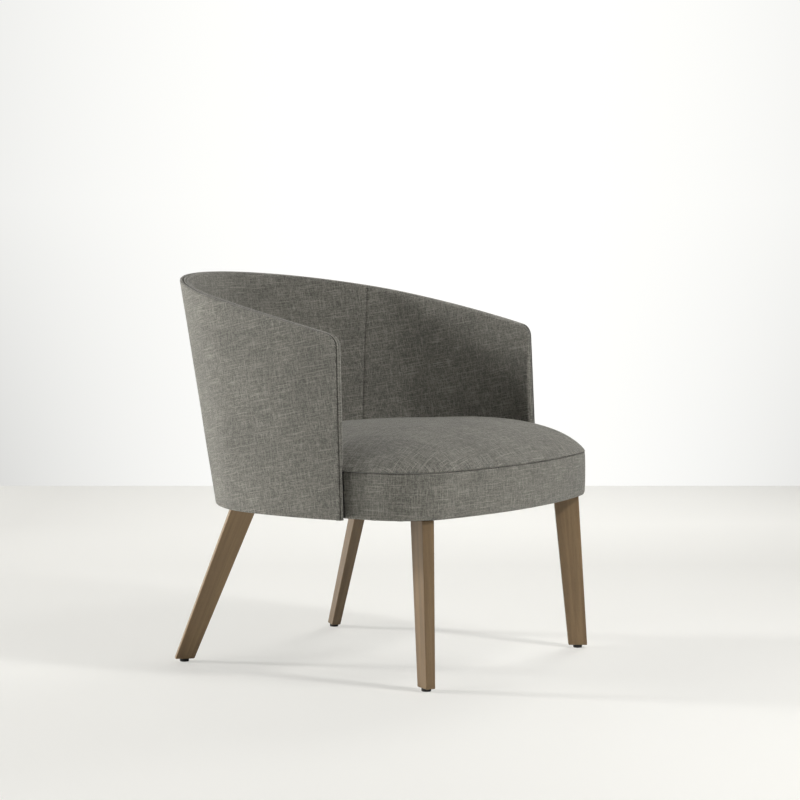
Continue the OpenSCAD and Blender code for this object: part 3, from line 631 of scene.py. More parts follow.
# Rows: share of the strip's width, distance below the edge, painted shade in the groove, in the dip
# between the two rolls and at the inner edge. The first is the groove's floor
band_profile = ((None, 0.0014, 1.0), (0.0, 0.0015, 1.0), (0.006, 0.0011, 1.0), (0.035, 0.0006, 0.4),
                (0.10, 0.0001, 0.0), (0.18, -0.0002, 0.0), (0.26, -0.0003, 0.0), (0.33, 0.0001, 0.0),
                (0.375, 0.0007, 0.35), (0.40, 0.0013, 0.9), (0.425, 0.0007, 0.35), (0.48, 0.0001, 0.0),
                (0.57, -0.0003, 0.0), (0.67, -0.0003, 0.0), (0.77, 0.0001, 0.0), (0.86, 0.0008, 0.0),
                (0.93, 0.0018, 0.0), (0.97, 0.0028, 0.1), (0.99, 0.0038, 0.3), (1.0, 0.0058, 0.6))
front_part = up_shares * (climb + 0.018) + underside
narrowing = ease((front_part - (foam_end - 0.010)) / 0.012)
band_gap = 0.0004
band_end = thin_depth + (full_depth - thin_depth) * narrowing - band_gap - edge_fall * narrowing
band_end = np.pad(band_end, (0, len(round_shares) - 1), "edge")
points, maps, painted_shades = [], [], []
run = 0.0
for band_place, band_in, band_painted_shade in band_profile:
    depth_here = groove - 0.0001 if band_place is None else groove_end + band_place * (band_end - groove_end)
    line, _ = edge_line(depth_here, np.full(edge_count, band_in), underside + 0.001)
    points.append(whole_line(line))
    if maps:
        run += math.hypot(depth_here[-1] - last_depth, band_in - last_in)
    else:
        gaps = np.linalg.norm(np.diff(points[0], axis=0), axis=1)
        travelled = np.concatenate([[0], np.cumsum(gaps)])
    last_depth, last_in = depth_here[-1], band_in
    maps.append(np.stack([travelled, np.full(len(travelled), run)], -1))
    painted_shades.append(np.full(len(travelled), band_painted_shade))
index = np.arange(len(band_profile) * len(travelled)).reshape(len(band_profile), -1)
edge_binding = make_piece("edge_binding", np.concatenate(points), grid_faces(index), np.concatenate(maps),
                          (0.0, -0.15, 0.30), True, np.concatenate(painted_shades))
finish_cover(edge_binding, 0.0008, "edge_band")

# Inside the shell's wall, over the moulded plywood: fleece wadding under the outside cover, the metal
# gripper strip that its fold is pressed into, and a thin sheet of foam behind the inner covers.
slab_up = np.linspace(0, 1, 37)
slab_across = np.linspace(0, 1, 81)


def wall_sheet(name, outer_depth, inner_depth, inset, foot):
    """A closed sheet that fills the wall between two depths."""
    flat = wall_patch(outer_depth, inset, foot, middle_line(outer_depth, inset, foot, slab_up),
                      slab_across, slab_up)
    turn = wall_turn(flat[..., 0], outer_depth)
    outer, inner = (whole(leaning(wall_section(turn, depth), flat[..., 1]))
                    for depth in (outer_depth, inner_depth))
    index = np.arange(outer.shape[0] * outer.shape[1]).reshape(outer.shape[:2])
    border = np.concatenate([index[0], index[1:, -1], index[-1, -2::-1], index[-2:0:-1, 0]])
    following = np.roll(border, -1)
    sides = np.stack([border, border + index.size, following + index.size, following], -1)
    faces = np.concatenate([grid_faces(index), grid_faces(index)[:, ::-1] + index.size, sides])
    points = np.concatenate([outer.reshape(-1, 3), inner.reshape(-1, 3)])
    return make_piece(name, points, faces, np.zeros((len(points), 2)), shell_centre, True)


def wall_strip(name, outer_depth, inner_depth, inset, end_inset, foot):
    """A strip along the whole edge between two depths and two distances below the edge."""
    lines = []
    for depth, drop in ((outer_depth, inset), (outer_depth, end_inset), (inner_depth, end_inset),
                        (inner_depth, inset), (outer_depth, inset)):
        length, along = arm_front(slab_up, np.full(len(slab_up), depth), np.full(len(slab_up), drop), foot)
        flat_depth = np.full(len(slab_across), depth)
        more_length, more_along = rim_line(slab_across, flat_depth, np.full(len(slab_across), drop))
        length = np.concatenate([length, more_length[1:]])
        along = np.concatenate([along, more_along[1:]])
        lines.append(whole_line(leaning(wall_section(wall_turn(length, depth), depth), along)))
    points = np.concatenate(lines)
    index = np.arange(len(points)).reshape(len(lines), -1)
    return make_piece(name, points, grid_faces(index), np.zeros((len(points), 2)), shell_centre, True)


def grained_material(name, roughness, low, high, scale, detail, stretch=None, relief=None, **fixed):
    """Two tones in an irregular grain. stretch draws it out, relief is its strength and height."""
    material, tree, shader = new_material(name, roughness, **fixed)
    spot = add_node(tree, "ShaderNodeTexCoord").outputs["Object"]
    if stretch:
        spot = add_node(tree, "ShaderNodeVectorMath", {0: spot, 1: stretch}, operation="MULTIPLY").outputs[0]
    grain = noise(tree, spot, scale, detail)
    tree.links.new(blend_colours(tree, grain, (*low, 1), (*high, 1)), shader.inputs["Base Color"])
    if relief:
        add_bump(tree, shader, grain, *relief)
    return material


soft_relief = (0.6, 0.0006)
fleece = grained_material("polyester_fleece", 0.95, (0.70, 0.70, 0.67), (0.90, 0.90, 0.87), 260.0, 4.0,
                          relief=soft_relief)
foam_stuff = grained_material("upholstery_foam", 0.95, (0.62, 0.56, 0.36), (0.84, 0.78, 0.56), 900.0, 4.0,
                              relief=soft_relief)
zinc = grained_material("zinc_plated", 0.38, (0.42, 0.42, 0.41), (0.62, 0.62, 0.60), 400.0, 3.0, Metallic=1.0)
wadding = wall_sheet("wadding_outside", 0.0009, 0.0042, 0.0142, underside + 0.0016)
declare(wadding, "outer_wadding", fleece)
back_pad = wall_sheet("foam_back", 0.0124, 0.0174, 0.0062, foam_end)
declare(back_pad, "back_foam", foam_stuff)
gripper = wall_strip("gripper_strip", 0.0016, 0.0025, 0.0070, 0.0139, underside + 0.020)
declare(gripper, "edge_gripper", zinc)

# Inner covers: one panel across the back and one over each arm, sewn together on seams that rise from
# the seat to the rim. They lie on the back foam and, behind the seat, straight on the plywood.
seam_x, seam_lean = 0.238, math.radians(7.4)
seam_dip, seam_dip_width, seam_painted_shade, seam_painted_shade_width = 0.0010, 0.0024, 0.42, 0.0012
border_fall_width, wave_height, inner_wave_length = 0.008, 0.0006, 0.11
inner_inset, inner_cloth = 0.0022, 0.0009
inner_foot = underside + 0.0015
inner_up = np.linspace(0, 1, 91)
seam_turns = np.linspace(math.radians(30), math.radians(80), 3000)
seam_section = wall_section(seam_turns, full_depth)
seam_height = foam_end + (seam_section[:, 0] - seam_x) / math.tan(seam_lean)
seam_over = seam_height - leaning(seam_section, rim_along(seam_section, inner_inset))[:, 2]
seam_top = np.interp(np.interp(0.0, seam_over, seam_turns), seam_turns, seam_height)
seam_line_height = inner_foot + inner_up * (seam_top - inner_foot)
seam_line_turn = np.interp(seam_line_height, seam_height, seam_turns)
seam_line = np.stack([wall_span(seam_line_turn, full_depth),
                      along_at(wall_section(seam_line_turn, full_depth), seam_line_height)], -1)


def inner_cover(name, flat, seam_distance, border, half, node):
    """One inner panel. It dips at the seam, falls a little at its border and steps in behind the seat."""
    section = wall_section(wall_turn(flat[..., 0], full_depth), full_depth)
    height = leaning(section, flat[..., 1])[..., 2]
    ledge = ease((height - (foam_end - 0.006)) / 0.010)
    sink = -(full_depth - thin_depth) * (1 - ledge)
    sink = sink - seam_dip * np.exp(-(seam_distance / seam_dip_width) ** 2) * ledge
    sink = sink - edge_fall * np.exp(-(border / border_fall_width) ** 2) * ledge
    waves = 1 + ripple(flat[..., 0], flat[..., 1], inner_wave_length, 4.0)
    waves = wave_height * waves * np.clip(border / calm_border, 0, 1)
    grid = place_on_wall(flat[..., 0], flat[..., 1], full_depth, sink - waves * ledge / 2)
    # Painted shade along the seam, strongest on it and fading within a few millimetres.
    painted_shade = seam_painted_shade * np.exp(-(seam_distance / seam_painted_shade_width) ** 2)[..., None]
    if half == "both":
        grid, cloth_map, painted_shade = whole(grid), whole(flat), np.abs(whole(painted_shade))
    else:
        grid, cloth_map = grid * np.array([half, 1, 1]), flat * np.array([half, 1.0])
    index = np.arange(grid.shape[0] * grid.shape[1]).reshape(grid.shape[:2])
    piece = make_piece(name, grid.reshape(-1, 3), grid_faces(index), cloth_map.reshape(-1, 2),
                       (0.0, -0.1, 0.5), False, painted_shade.ravel())
    finish_cover(piece, inner_cloth, node)


near_seam = np.array([0.0, 0.002, 0.0045, 0.008, 0.013, 0.020])
side_across = np.concatenate([near_seam, np.linspace(0.035, 1, 62)])
side_flat = wall_patch(full_depth, inner_inset, inner_foot, seam_line, side_across, inner_up)
side_border = np.minimum(side_flat[-1:, :, 1] - side_flat[..., 1], side_flat[:, -1:, 0] - side_flat[..., 0])
for side_name, side in (("left", 1.0), ("right", -1.0)):
    inner_cover("inside_cover_" + side_name, side_flat, side_flat[..., 0] - side_flat[:, :1, 0], side_border,
                side, "inner_cover_" + side_name)
back_across = np.sort(1 - np.concatenate([near_seam[:-1] * 0.75, np.linspace(0.026, 1, 84)]))
top_lengths, bottom_lengths = back_across * seam_line[-1, 0], back_across * seam_line[0, 0]
top_section, bottom_section = (wall_section(wall_turn(lengths, full_depth), full_depth)
                               for lengths in (top_lengths, bottom_lengths))
back_flat = coons(np.stack([bottom_lengths, along_at(bottom_section, inner_foot)], -1),
                  np.stack([top_lengths, rim_along(top_section, inner_inset)], -1),
                  middle_line(full_depth, inner_inset, inner_foot, inner_up), seam_line,
                  back_across, inner_up)
inner_cover("inside_cover_back", back_flat, back_flat[:, -1:, 0] - back_flat[..., 0],
            back_flat[-1:, :, 1] - back_flat[..., 1], "both", "inner_cover_back")

# Seat cushion: a fixed seat with a domed top. Its outline follows the shell behind and runs out past
# the arms in a shallow bow with rounded corners. The top cover is sewn to the boxing at the seam.
seat_depth = 0.0205
seat_half_width = half_width - seat_depth
seat_front_radius, seat_corner = 1.022, 0.115
seat_front_centre = np.array([0.0, seat_front_radius - seat_reach])
seat_corner_x = seat_half_width - seat_corner
seat_corner_y = seat_front_centre[1] - math.sqrt((seat_front_radius - seat_corner) ** 2 - seat_corner_x ** 2)
seat_corner_centre = np.array([seat_corner_x, seat_corner_y])
front_angle = math.atan2(seat_corner_x, seat_front_centre[1] - seat_corner_y)
seam_level = underside + 0.083
crown_rise, crown_fall, crown_front = 0.068, 0.047, -0.100
crown_middle = np.array([0.0, 0.020])
back_turns = np.linspace(0, math.pi / 2, 74)
corner_turns = np.linspace(math.pi / 2, math.pi - front_angle, 40)[1:]
front_turns = np.linspace(math.pi - front_angle, math.pi, 66)[1:]


def seat_outline(inset, height):
    """The seat's whole outline drawn in by inset at a height, from the middle of the back to the left."""
    section = wall_section(back_turns, seat_depth + inset)
    rear_y = (section[:, 1] + (height - underside) * lean_sin) / lean_cos
    rear = np.stack([section[:, 0], rear_y], -1)
    side_y = np.concatenate([np.linspace(rear_y[-1], -arm_reach + 0.0075, 10)[1:],
                             np.linspace(-arm_reach + 0.0065, -arm_reach - 0.0005, 8),
                             np.linspace(-arm_reach - 0.0015, seat_corner_y, 8)])
    straight = np.stack([np.full(len(side_y), seat_half_width - inset), side_y], -1)
    corner = seat_corner_centre + (seat_corner - inset) * compass(corner_turns)
    front = seat_front_centre + (seat_front_radius - inset) * compass(front_turns)
    half = np.concatenate([rear, straight, corner, front])
    return np.concatenate([half, half[-2:0:-1] * flip[:2]])


def in_room(ring, level):
    """Places in the room of points in the chair's own plan, at one level or a level for each."""
    return np.column_stack([ring[:, 0], ring[:, 1] - middle_y, np.broadcast_to(level, len(ring))])


def seat_ring(inset, level):
    return in_room(seat_outline(inset, level), level)


seat_edge = seat_outline(0.0, seam_level)
seat_edge_step = np.linalg.norm(np.roll(seat_edge, -1, 0) - seat_edge, axis=1)
seat_edge_length = np.concatenate([[0], np.cumsum(seat_edge_step)])


def crown_points(edge, share, drop=0.0):
    """Places on the crown at a share of the way in from points of its edge, sunk by drop."""
    plan = crown_middle + (edge - crown_middle) * (1 - share)
    swell = (1 - (1 - np.ravel(share)) ** 4) ** 0.8
    return in_room(plan, seam_level + (crown_rise - drop - crown_fall * (plan[:, 1] - crown_front)) * swell)


def fan(first, count, tip):
    """Triangles from a ring of points to the point tip."""
    ring = first + np.arange(count)
    return np.stack([ring, np.roll(ring, -1), np.full(count, tip)], -1).tolist()


def ring_mesh(rings, top=None, base=None):
    """Points and faces of a surface through rings, closed by a point at its top and one at its base."""
    count = len(rings[0])
    ring = np.arange(count)
    faces = []
    for k in range(len(rings) - 1):
        a, b = k * count + ring, k * count + np.roll(ring, -1)
        faces += np.stack([a, b, b + count, a + count], -1).tolist()
    points = np.concatenate(rings)
    if top is not None:
        faces += fan(len(points) - count, count, len(points))
        points = np.vstack([points, top])
    if base is not None:
        faces += [(b, a, tip) for a, b, tip in fan(0, count, len(points))]
        points = np.vstack([points, base])
    return points, faces


def dome(profile, shares, inset, drop, base_level=None):
    """A crowned pad: rings up its side and over its crown, and a flat base where base_level is given."""
    rings = [seat_ring(e, z) for e, z in profile]
    rings += [crown_points(seat_outline(inset, seam_level), share, drop) for share in shares]
    top = in_room(crown_middle[None], rings[-1][:, 2].mean())
    return ring_mesh(rings, top, None if base_level is None else in_room(crown_middle[None], base_level))


# Inside the seat: a block of foam on the webbing, fleece over it, and a strip of foam round the frame
foam_low = 0.3533
points, faces = dome(((0.0098, foam_low), (0.0098, seam_level - 0.0006), (0.0060, seam_level + 0.0002)),
                     np.linspace(0.004, 0.96, 26) ** 1.2, 0.0048, 0.0048, foam_low)
seat_block = make_piece("foam_seat", points, faces, points[:, :2], (0.0, 0.0, 0.38), True)
declare(seat_block, "seat_foam", foam_stuff)

points, faces = dome((), np.linspace(0.0, 0.97, 34) ** 1.2, 0.0012, 0.0012)
seat_fleece = make_piece("wadding_seat", points, faces, points[:, :2], (0.0, 0.0, 0.30), True)
thicken(seat_fleece, 0.0032)
declare(seat_fleece, "seat_wadding", fleece)

side_low, side_middle, side_high = underside + 0.0045, 0.335, seam_level - 0.0018
side_profile = ((0.0020, side_high), (0.0015, side_high - 0.003), (0.0014, side_middle),
                (0.0018, side_low + 0.006), (0.0034, side_low + 0.0018), (0.0056, side_low),
                (0.0094, side_low), (0.0095, side_middle), (0.0094, side_high), (0.0020, side_high))
points, faces = ring_mesh([seat_ring(inset, level) for inset, level in side_profile])
side_pad = make_piece("foam_sides", points, faces, np.zeros((len(points), 2)), (0.0, 0.0, 0.33), True)
declare(side_pad, "seat_side_pad", foam_stuff)

# Top cover: a net of the cloth is held at the seam and pressed out over the foam in a simulation, and
# the fine cover takes the net's movement. A short pull shows where the seam gathers it.
net_cells, net_frames, net_pressure, net_sink = 56, 20, 0.4, 0.0003


def net_place(u, v):
    """A place in the square net: share of the way in from the seam, and share of the way round."""
    reach = np.maximum(np.abs(u), np.abs(v))
    safe = np.where(reach > 0, reach, 1.0)
    ring = np.where(np.abs(u) >= np.abs(v), np.where(u > 0, v / safe, 4 - v / safe),
                    np.where(v > 0, 2 - u / safe, 6 + u / safe)) / 8
    return 1 - reach, ring % 1.0


def simulate_net():
    """The net's places at rest, and how far the pressure moves each."""
    axis = np.linspace(-1, 1, net_cells + 1)
    u, v = (g.ravel() for g in np.meshgrid(axis, axis))
    share, ring = net_place(u, v)
    at = ring * seat_edge_length[-1]
    loop = np.concatenate([seat_edge, seat_edge[:1]])
    edge = np.stack([np.interp(at, seat_edge_length, loop[:, k]) for k in (0, 1)], -1)
    rest = crown_points(edge, share[:, None])
    index = np.arange(len(u)).reshape(net_cells + 1, -1)
    net = make_piece("net", rest, grid_faces(index), rest[:, :2], (0.0, 0.0, 0.30), True)
    held = net.vertex_groups.new(name="seam")
    held.add([int(k) for k in np.nonzero(share < 0.5 / net_cells)[0]], 1.0, "REPLACE")
    cloth = net.modifiers.new("cloth", "CLOTH")
    stuff = {"quality": 6, "mass": 0.35, "tension_stiffness": 14.0, "compression_stiffness": 14.0,
             "shear_stiffness": 6.0, "bending_stiffness": 0.6, "vertex_group_mass": "seam",
             "use_pressure": True, "uniform_pressure_force": net_pressure}
    for setting, value in stuff.items():
        setattr(cloth.settings, setting, value)
    cloth.settings.effector_weights.gravity = 0.0
    cloth.point_cache.frame_start, cloth.point_cache.frame_end = 1, net_frames
    for frame_number in range(1, net_frames + 1):
        bpy.context.scene.frame_set(frame_number)
    settled = net.evaluated_get(bpy.context.evaluated_depsgraph_get()).data
    places = np.zeros(len(rest) * 3)
    settled.vertices.foreach_get("co", places)
    bpy.context.scene.frame_set(1)
    bpy.data.objects.remove(net)
    moved = places.reshape(-1, 3) - rest
    sunk = moved[:, 2] < 0
    moved[sunk] *= np.minimum(1.0, -net_sink / np.minimum(moved[sunk, 2:], -1e-9))
    return rest, moved


crown_shares = np.concatenate([[0.0, 0.002, 0.005, 0.009, 0.014], np.linspace(0.03, 0.985, 62) ** 1.15])
seam_profile = ((0.0065, seam_level + 0.0004), (0.0022, seam_level + 0.0003), (0.0006, seam_level + 0.0006))
points, faces = dome(seam_profile, crown_shares, -0.0004, 0.0)
cloth_map = points[:, :2].copy()
crown = slice(len(seam_profile) * len(seat_edge), len(points) - 1)
net_rest, net_moved = simulate_net()
net_tree = KDTree(len(net_rest))
for k, place in enumerate(net_rest):
    net_tree.insert(place, k)
net_tree.balance()
for k in range(crown.start, len(points)):
    near = net_tree.find_n(points[k], 4)
    weights = np.array([1 / (d + 1e-5) for _, _, d in near])
    points[k] += (net_moved[[n for _, n, _ in near]] * weights[:, None]).sum(0) / weights.sum()
above = np.clip((points[:, 2] - seam_level) / 0.05, 0, 1)
points[:, 2] += 0.0008 * ripple(points[:, 0], points[:, 1], 0.13, 2.0) * above
round_seam = np.tile(seat_edge_length[:-1], len(crown_shares))
near_edge = np.exp(-((np.repeat(crown_shares, len(seat_edge)) - 0.03) / 0.03) ** 2)
points[crown, 2] += 0.00015 * ripple(round_seam, 0 * round_seam, 0.024, 6.0) * near_edge
# Painted shade at the seam: the rings round the seam are fully darkened.
painted_shade = np.zeros(len(points))
painted_shade[:crown.start] = 1.0
seat_top = make_piece("seat_top", points, faces, cloth_map, (0.0, 0.0, 0.30), True, painted_shade)
finish_cover(seat_top, 0.0009, "seat_top_cover")

# Boxing: the upright band of cloth round the seat, seamed to the top and stapled under the frame. It
# swells a little between the two. Its top rows get painted shade at the seam, and a strip of painted
# shadow darkens it where it passes behind the arms' front edges.
hem_level = underside + 0.0011
swell_top, swell_foot, swell_most = seam_level - 0.0024, hem_level + 0.006, 0.0011
boxing_profile = [(0.0065, seam_level - 0.0009), (0.0022, seam_level - 0.0008), (0.0009, seam_level - 0.0013),
                  (0.0003, swell_top)]
for share in np.linspace(0, 1, 19)[1:-1]:
    boxing_profile.append((0.0001 - swell_most * math.sin(math.pi * share) ** 0.7,
                           swell_top + share * (swell_foot - swell_top)))
boxing_profile += [(0.0002, swell_foot), (0.0008, hem_level + 0.0033), (0.0021, hem_level + 0.0014),
                   (0.0040, hem_level + 0.0004), (0.0070, hem_level), (0.0160, hem_level)]
steps = np.linalg.norm(np.diff(boxing_profile, axis=0), axis=1)
travelled = np.concatenate([[0], np.cumsum(steps)])
rings, maps, painted_shades = [], [], []
for (inset, level), run in zip(boxing_profile, travelled):
    rings.append(seat_ring(inset, level))
    # Painted shadow: the cloth a little behind each arm's front edge is darkened, where the gap beside the
    # arm is in shade.
    past_front = rings[-1][:, 1] + middle_y + arm_reach - (level - underside) * math.tan(arm_lean)
    painted_shadow_from = np.clip((past_front - 0.0008) / 0.0012, 0, 1)
    painted_shades.append(0.95 * painted_shadow_from * np.clip((0.03 - past_front) / 0.01, 0, 1))
    maps.append(np.stack([seat_edge_length[:-1], np.full(len(seat_edge), -run)], -1))
painted_shades = np.array(painted_shades)
# Painted shade at the seam: the two top rows are fully darkened and the third half-way.
painted_shades[:2] = 1.0
painted_shades[2] = np.maximum(painted_shades[2], 0.5)
points, faces = ring_mesh(rings)
boxing = make_piece("seat_boxing_cloth", points, faces, np.concatenate(maps), (0.0, 0.0, 0.33), True,
                    painted_shades.ravel())
finish_cover(boxing, 0.0009, "seat_boxing")

# Legs: four tapered legs of stained hardwood with eased edges, their wide sides turned to the corners.
# Each is drawn up against the frame by a bolt in its top, and stands on a nailed-on glide.
leg_top_width, leg_top_thick, leg_foot_width, leg_foot_thick = 0.047, 0.023, 0.035, 0.0175
leg_top_level, glide_height, leg_edge, edge_margin = underside - 0.0002, 0.0055, 0.0017, 0.0008
front_top = seat_corner_centre + (seat_corner - 0.0354) * compass(np.radians(145.9))
rear_top = back_centre + (back_radius - seat_depth - 0.0318) * compass(np.radians(39.5))
rear_top = rear_top / np.array([1.0, lean_cos])
front_way, back_way = (compass(np.radians(turn)) for turn in (148.0, 42.0))
# Rows: end of the chair, place of the leg's top, splay from foot to top, way its wide side looks
leg_kinds = (("front", front_top, np.array([-0.0164, 0.0188]), front_way),
             ("back", rear_top, np.array([-0.0504, -0.1047]), back_way))
# Painted light and shade for each leg, front left, front right, back left, back right: it scales the wood's
# colour, darkening the back left leg and brightening the back right one.
painted_leg_light_tones = (0.98, 0.91, 0.70, 1.36)

leg_wood, wood_tree, wood_shader = new_material("stained_walnut", 0.42, Coat_Weight=0.18, Coat_Roughness=0.35)
grain_place = add_node(wood_tree, "ShaderNodeAttribute", attribute_name="grain").outputs["Vector"]


def wood_noise(across_grain, along_grain, detail, rough=0.55, distortion=0.0):
    scale = (across_grain, across_grain, along_grain)
    stretched = add_node(wood_tree, "ShaderNodeVectorMath", {0: grain_place, 1: scale}, operation="MULTIPLY")
    return noise(wood_tree, stretched.outputs[0], 1.0, detail, rough, distortion)


wood_bands = wood_noise(70.0, 3.0, 3.0, 0.5, 0.8)
wood_fibre = wood_noise(1500.0, 30.0, 2.0)
wood_pores = spread(wood_tree, wood_noise(2300.0, 110.0, 1.0), (0.64, 0.74))
band_share = spread(wood_tree, wood_bands, (0.30, 0.70), kind="SMOOTHSTEP")
wood_colour = blend_colours(wood_tree, band_share, (0.218, 0.142, 0.074, 1), (0.300, 0.201, 0.104, 1))
wood_colour = scaled_colour(wood_tree, wood_colour, spread(wood_tree, wood_fibre, (0.25, 0.75), (0.91, 1.08)))
pore_share = product(wood_tree, wood_pores, 0.40)
wood_colour = blend_colours(wood_tree, pore_share, wood_colour, (0.045, 0.028, 0.018, 1))
# The wood's colour is scaled by each leg's painted light and shade.
painted_leg_light = add_node(wood_tree, "ShaderNodeAttribute", attribute_name="painted_leg_light").outputs["Fac"]
wood_tree.links.new(scaled_colour(wood_tree, wood_colour, painted_leg_light), wood_shader.inputs["Base Color"])
wood_tree.links.new(spread(wood_tree, wood_fibre, (0.2, 0.8), (0.36, 0.50)), wood_shader.inputs["Roughness"])
wood_height = calc(wood_tree, "SUBTRACT", product(wood_tree, wood_fibre, 0.5), wood_pores)
add_bump(wood_tree, wood_shader, wood_height, 0.35, 0.00018)


def leg_ring(width, thick):
    """A leg's section round its middle: four eased corners, and points close beside them on the flats."""
    corners = []
    for quarter, (side_x, side_y) in enumerate(((1, 1), (-1, 1), (-1, -1), (1, -1))):
        centre = np.array([side_x * (width / 2 - leg_edge), side_y * (thick / 2 - leg_edge)])
        angles = math.pi / 2 * quarter + np.linspace(0, math.pi / 2, 6)
        arc = centre + leg_edge * np.stack([np.cos(angles), np.sin(angles)], -1)
        before = np.array([[0, -1], [1, 0], [0, 1], [-1, 0]][quarter]) * edge_margin
        after = np.array([[-1, 0], [0, -1], [1, 0], [0, 1]][quarter]) * edge_margin
        corners += [arc[:1] + before, arc, arc[-1:] + after]
    return np.concatenate(corners)


# The foot's edge is eased in three steps. Rows: height above the glide, distance drawn in
foot_profile = ((0.0, 0.004), (0.0, 0.0010), (0.0004, 0.0003), (0.0012, 0.0))
leg_profile = [(glide_height + rise, less) for rise, less in foot_profile]
leg_levels = [*np.linspace(0.008, leg_top_level - 0.001, 44), leg_top_level]
leg_profile += [(level, 0.0) for level in leg_levels]
leg_places = [(*kind, *side) for kind in leg_kinds for side in (("left", 1.0), ("right", -1.0))]
for number, (end_name, top_place, splay, outward, side_name, side) in enumerate(leg_places):
    flat_side = np.array([-outward[1], outward[0]])
    rings, grain = [], []
    for level, less in leg_profile:
        share = level / underside
        width = leg_foot_width + (leg_top_width - leg_foot_width) * share
        thick = leg_foot_thick + (leg_top_thick - leg_foot_thick) * share
        ring = leg_ring(width - 2 * less, thick - 2 * less)
        place = top_place - splay * (1 - share) + ring[:, :1] * outward + ring[:, 1:] * flat_side
        rings.append(in_room(place * np.array([side, 1.0]), level))
        grain.append(np.column_stack([ring, np.full(len(ring), level)]) + number * np.array([0.3, 0.17, 0.9]))
    points, faces = ring_mesh(rings, rings[-1].mean(0), rings[0].mean(0))
    grain = np.vstack(grain + [grain[-1].mean(0), grain[0].mean(0)]).astype(np.float32)
    name = "leg_" + end_name + "_" + side_name
    leg = make_piece("wood_" + name, points, faces, grain[:, :2], points.mean(0), True)
    leg.data.attributes.new("grain", "FLOAT_VECTOR", "POINT").data.foreach_set("vector", grain.ravel())
    tones = np.full(len(points), painted_leg_light_tones[number], np.float32)
    leg.data.attributes.new("painted_leg_light", "FLOAT", "POINT").data.foreach_set("value", tones)
    declare(leg, name, leg_wood)

# Webbing: ten elastic belts, five each way, woven over and under one another and stapled to the rails
belt_wide, belt_thick, belt_step, belt_count, belt_rise, belt_hold = 0.050, 0.002, 0.088, 5, 0.0021, 0.004
rib_rate = 2400.0
belt_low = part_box("webbing_long")[0].z + belt_thick / 2
belting, belt_tree, belt_shader = new_material("elastic_webbing", 0.85)
belt_spot = add_node(belt_tree, "ShaderNodeTexCoord").outputs["Object"]
belt_parts = add_node(belt_tree, "ShaderNodeSeparateXYZ", {0: belt_spot}).outputs
belt_ribs = product(belt_tree, *(calc(belt_tree, "SINE", product(belt_tree, part, rib_rate))
                                 for part in belt_parts[:2]))
belt_colour = blend_colours(belt_tree, spread(belt_tree, belt_ribs, (-1.0, 1.0)), (0.30, 0.21, 0.12, 1),
                            (0.52, 0.39, 0.25, 1))
belt_tree.links.new(belt_colour, belt_shader.inputs["Base Color"])


def new_geometry_tree(name, *inputs):
    """A geometry node tree with named inputs, the last one for its material."""
    tree = bpy.data.node_groups.new(name, "GeometryNodeTree")
    tree.is_modifier = True
    tree.interface.new_socket("Geometry", in_out="INPUT", socket_type="NodeSocketGeometry")
    for label in inputs:
        tree.interface.new_socket(label, in_out="INPUT", socket_type="NodeSocketFloat")
    tree.interface.new_socket("Material", in_out="INPUT", socket_type="NodeSocketMaterial")
    tree.interface.new_socket("Geometry", in_out="OUTPUT", socket_type="NodeSocketGeometry")
    return tree, tree.nodes.new("NodeGroupInput").outputs


def finish_tree(tree, given, geometry):
    """Makes the tree's instances real, gives them their material and puts them out."""
    real = add_node(tree, "GeometryNodeRealizeInstances", {"Geometry": geometry.outputs[0]}).outputs[0]
    done = add_node(tree, "GeometryNodeSetMaterial", {"Geometry": real, "Material": given["Material"]})
    tree.links.new(done.outputs[0], tree.nodes.new("NodeGroupOutput").inputs[0])


def grow(name, points, edges, values, tree, settings):
    """Runs a geometry node tree on a set of points and keeps its result as a plain mesh."""
    mesh = bpy.data.meshes.new(name + "_places")
    mesh.from_pydata([tuple(p) for p in points], [tuple(e) for e in edges], [])
    for label, numbers in values.items():
        layer = mesh.attributes.new(label, "FLOAT", "POINT")
        layer.data.foreach_set("value", np.asarray(numbers, np.float32))
    maker = bpy.data.objects.new(name + "_places", mesh)
    bpy.context.scene.collection.objects.link(maker)
    growth = maker.modifiers.new("growth", "NODES")
    growth.node_group = tree
    for label, value in settings.items():
        growth[tree.interface.items_tree[label].identifier] = value
    grown = bpy.data.meshes.new_from_object(maker.evaluated_get(bpy.context.evaluated_depsgraph_get()))
    grown.name = name
    bpy.data.objects.remove(maker)
    piece = bpy.data.objects.new(name, grown)
    bpy.context.scene.collection.objects.link(piece)
    return piece


belt_growth, belt_given = new_geometry_tree("woven_belts", "Width", "Thickness", "Step", "Start", "Rise")
belt_line = add_node(belt_growth, "GeometryNodeMeshToCurve", {"Mesh": belt_given["Geometry"]}).outputs[0]
belt_line = add_node(belt_growth, "GeometryNodeResampleCurve", {"Curve": belt_line, "Length": 0.005},
                     mode="LENGTH").outputs[0]
belt_at = add_node(belt_growth, "GeometryNodeInputPosition").outputs[0]
belt_at = add_node(belt_growth, "ShaderNodeSeparateXYZ", {0: belt_at}).outputs
belt_phase, belt_turned = (add_node(belt_growth, "GeometryNodeInputNamedAttribute", {"Name": label},
                                    data_type="FLOAT").outputs[0] for label in ("phase", "turned"))
from_start = calc(belt_growth, "SUBTRACT", belt_at[1], belt_given["Start"])
not_turned = calc(belt_growth, "SUBTRACT", 1.0, belt_turned)
belt_along = calc(belt_growth, "ADD", product(belt_growth, from_start, not_turned),
                  product(belt_growth, belt_at[0], belt_turned))
belt_turns = calc(belt_growth, "ADD", calc(belt_growth, "DIVIDE", belt_along, belt_given["Step"]), belt_phase)
belt_wave = calc(belt_growth, "COSINE", product(belt_growth, belt_turns, math.pi))
belt_share = calc(belt_growth, "ADD", 0.5, product(belt_growth, belt_wave, 0.5))
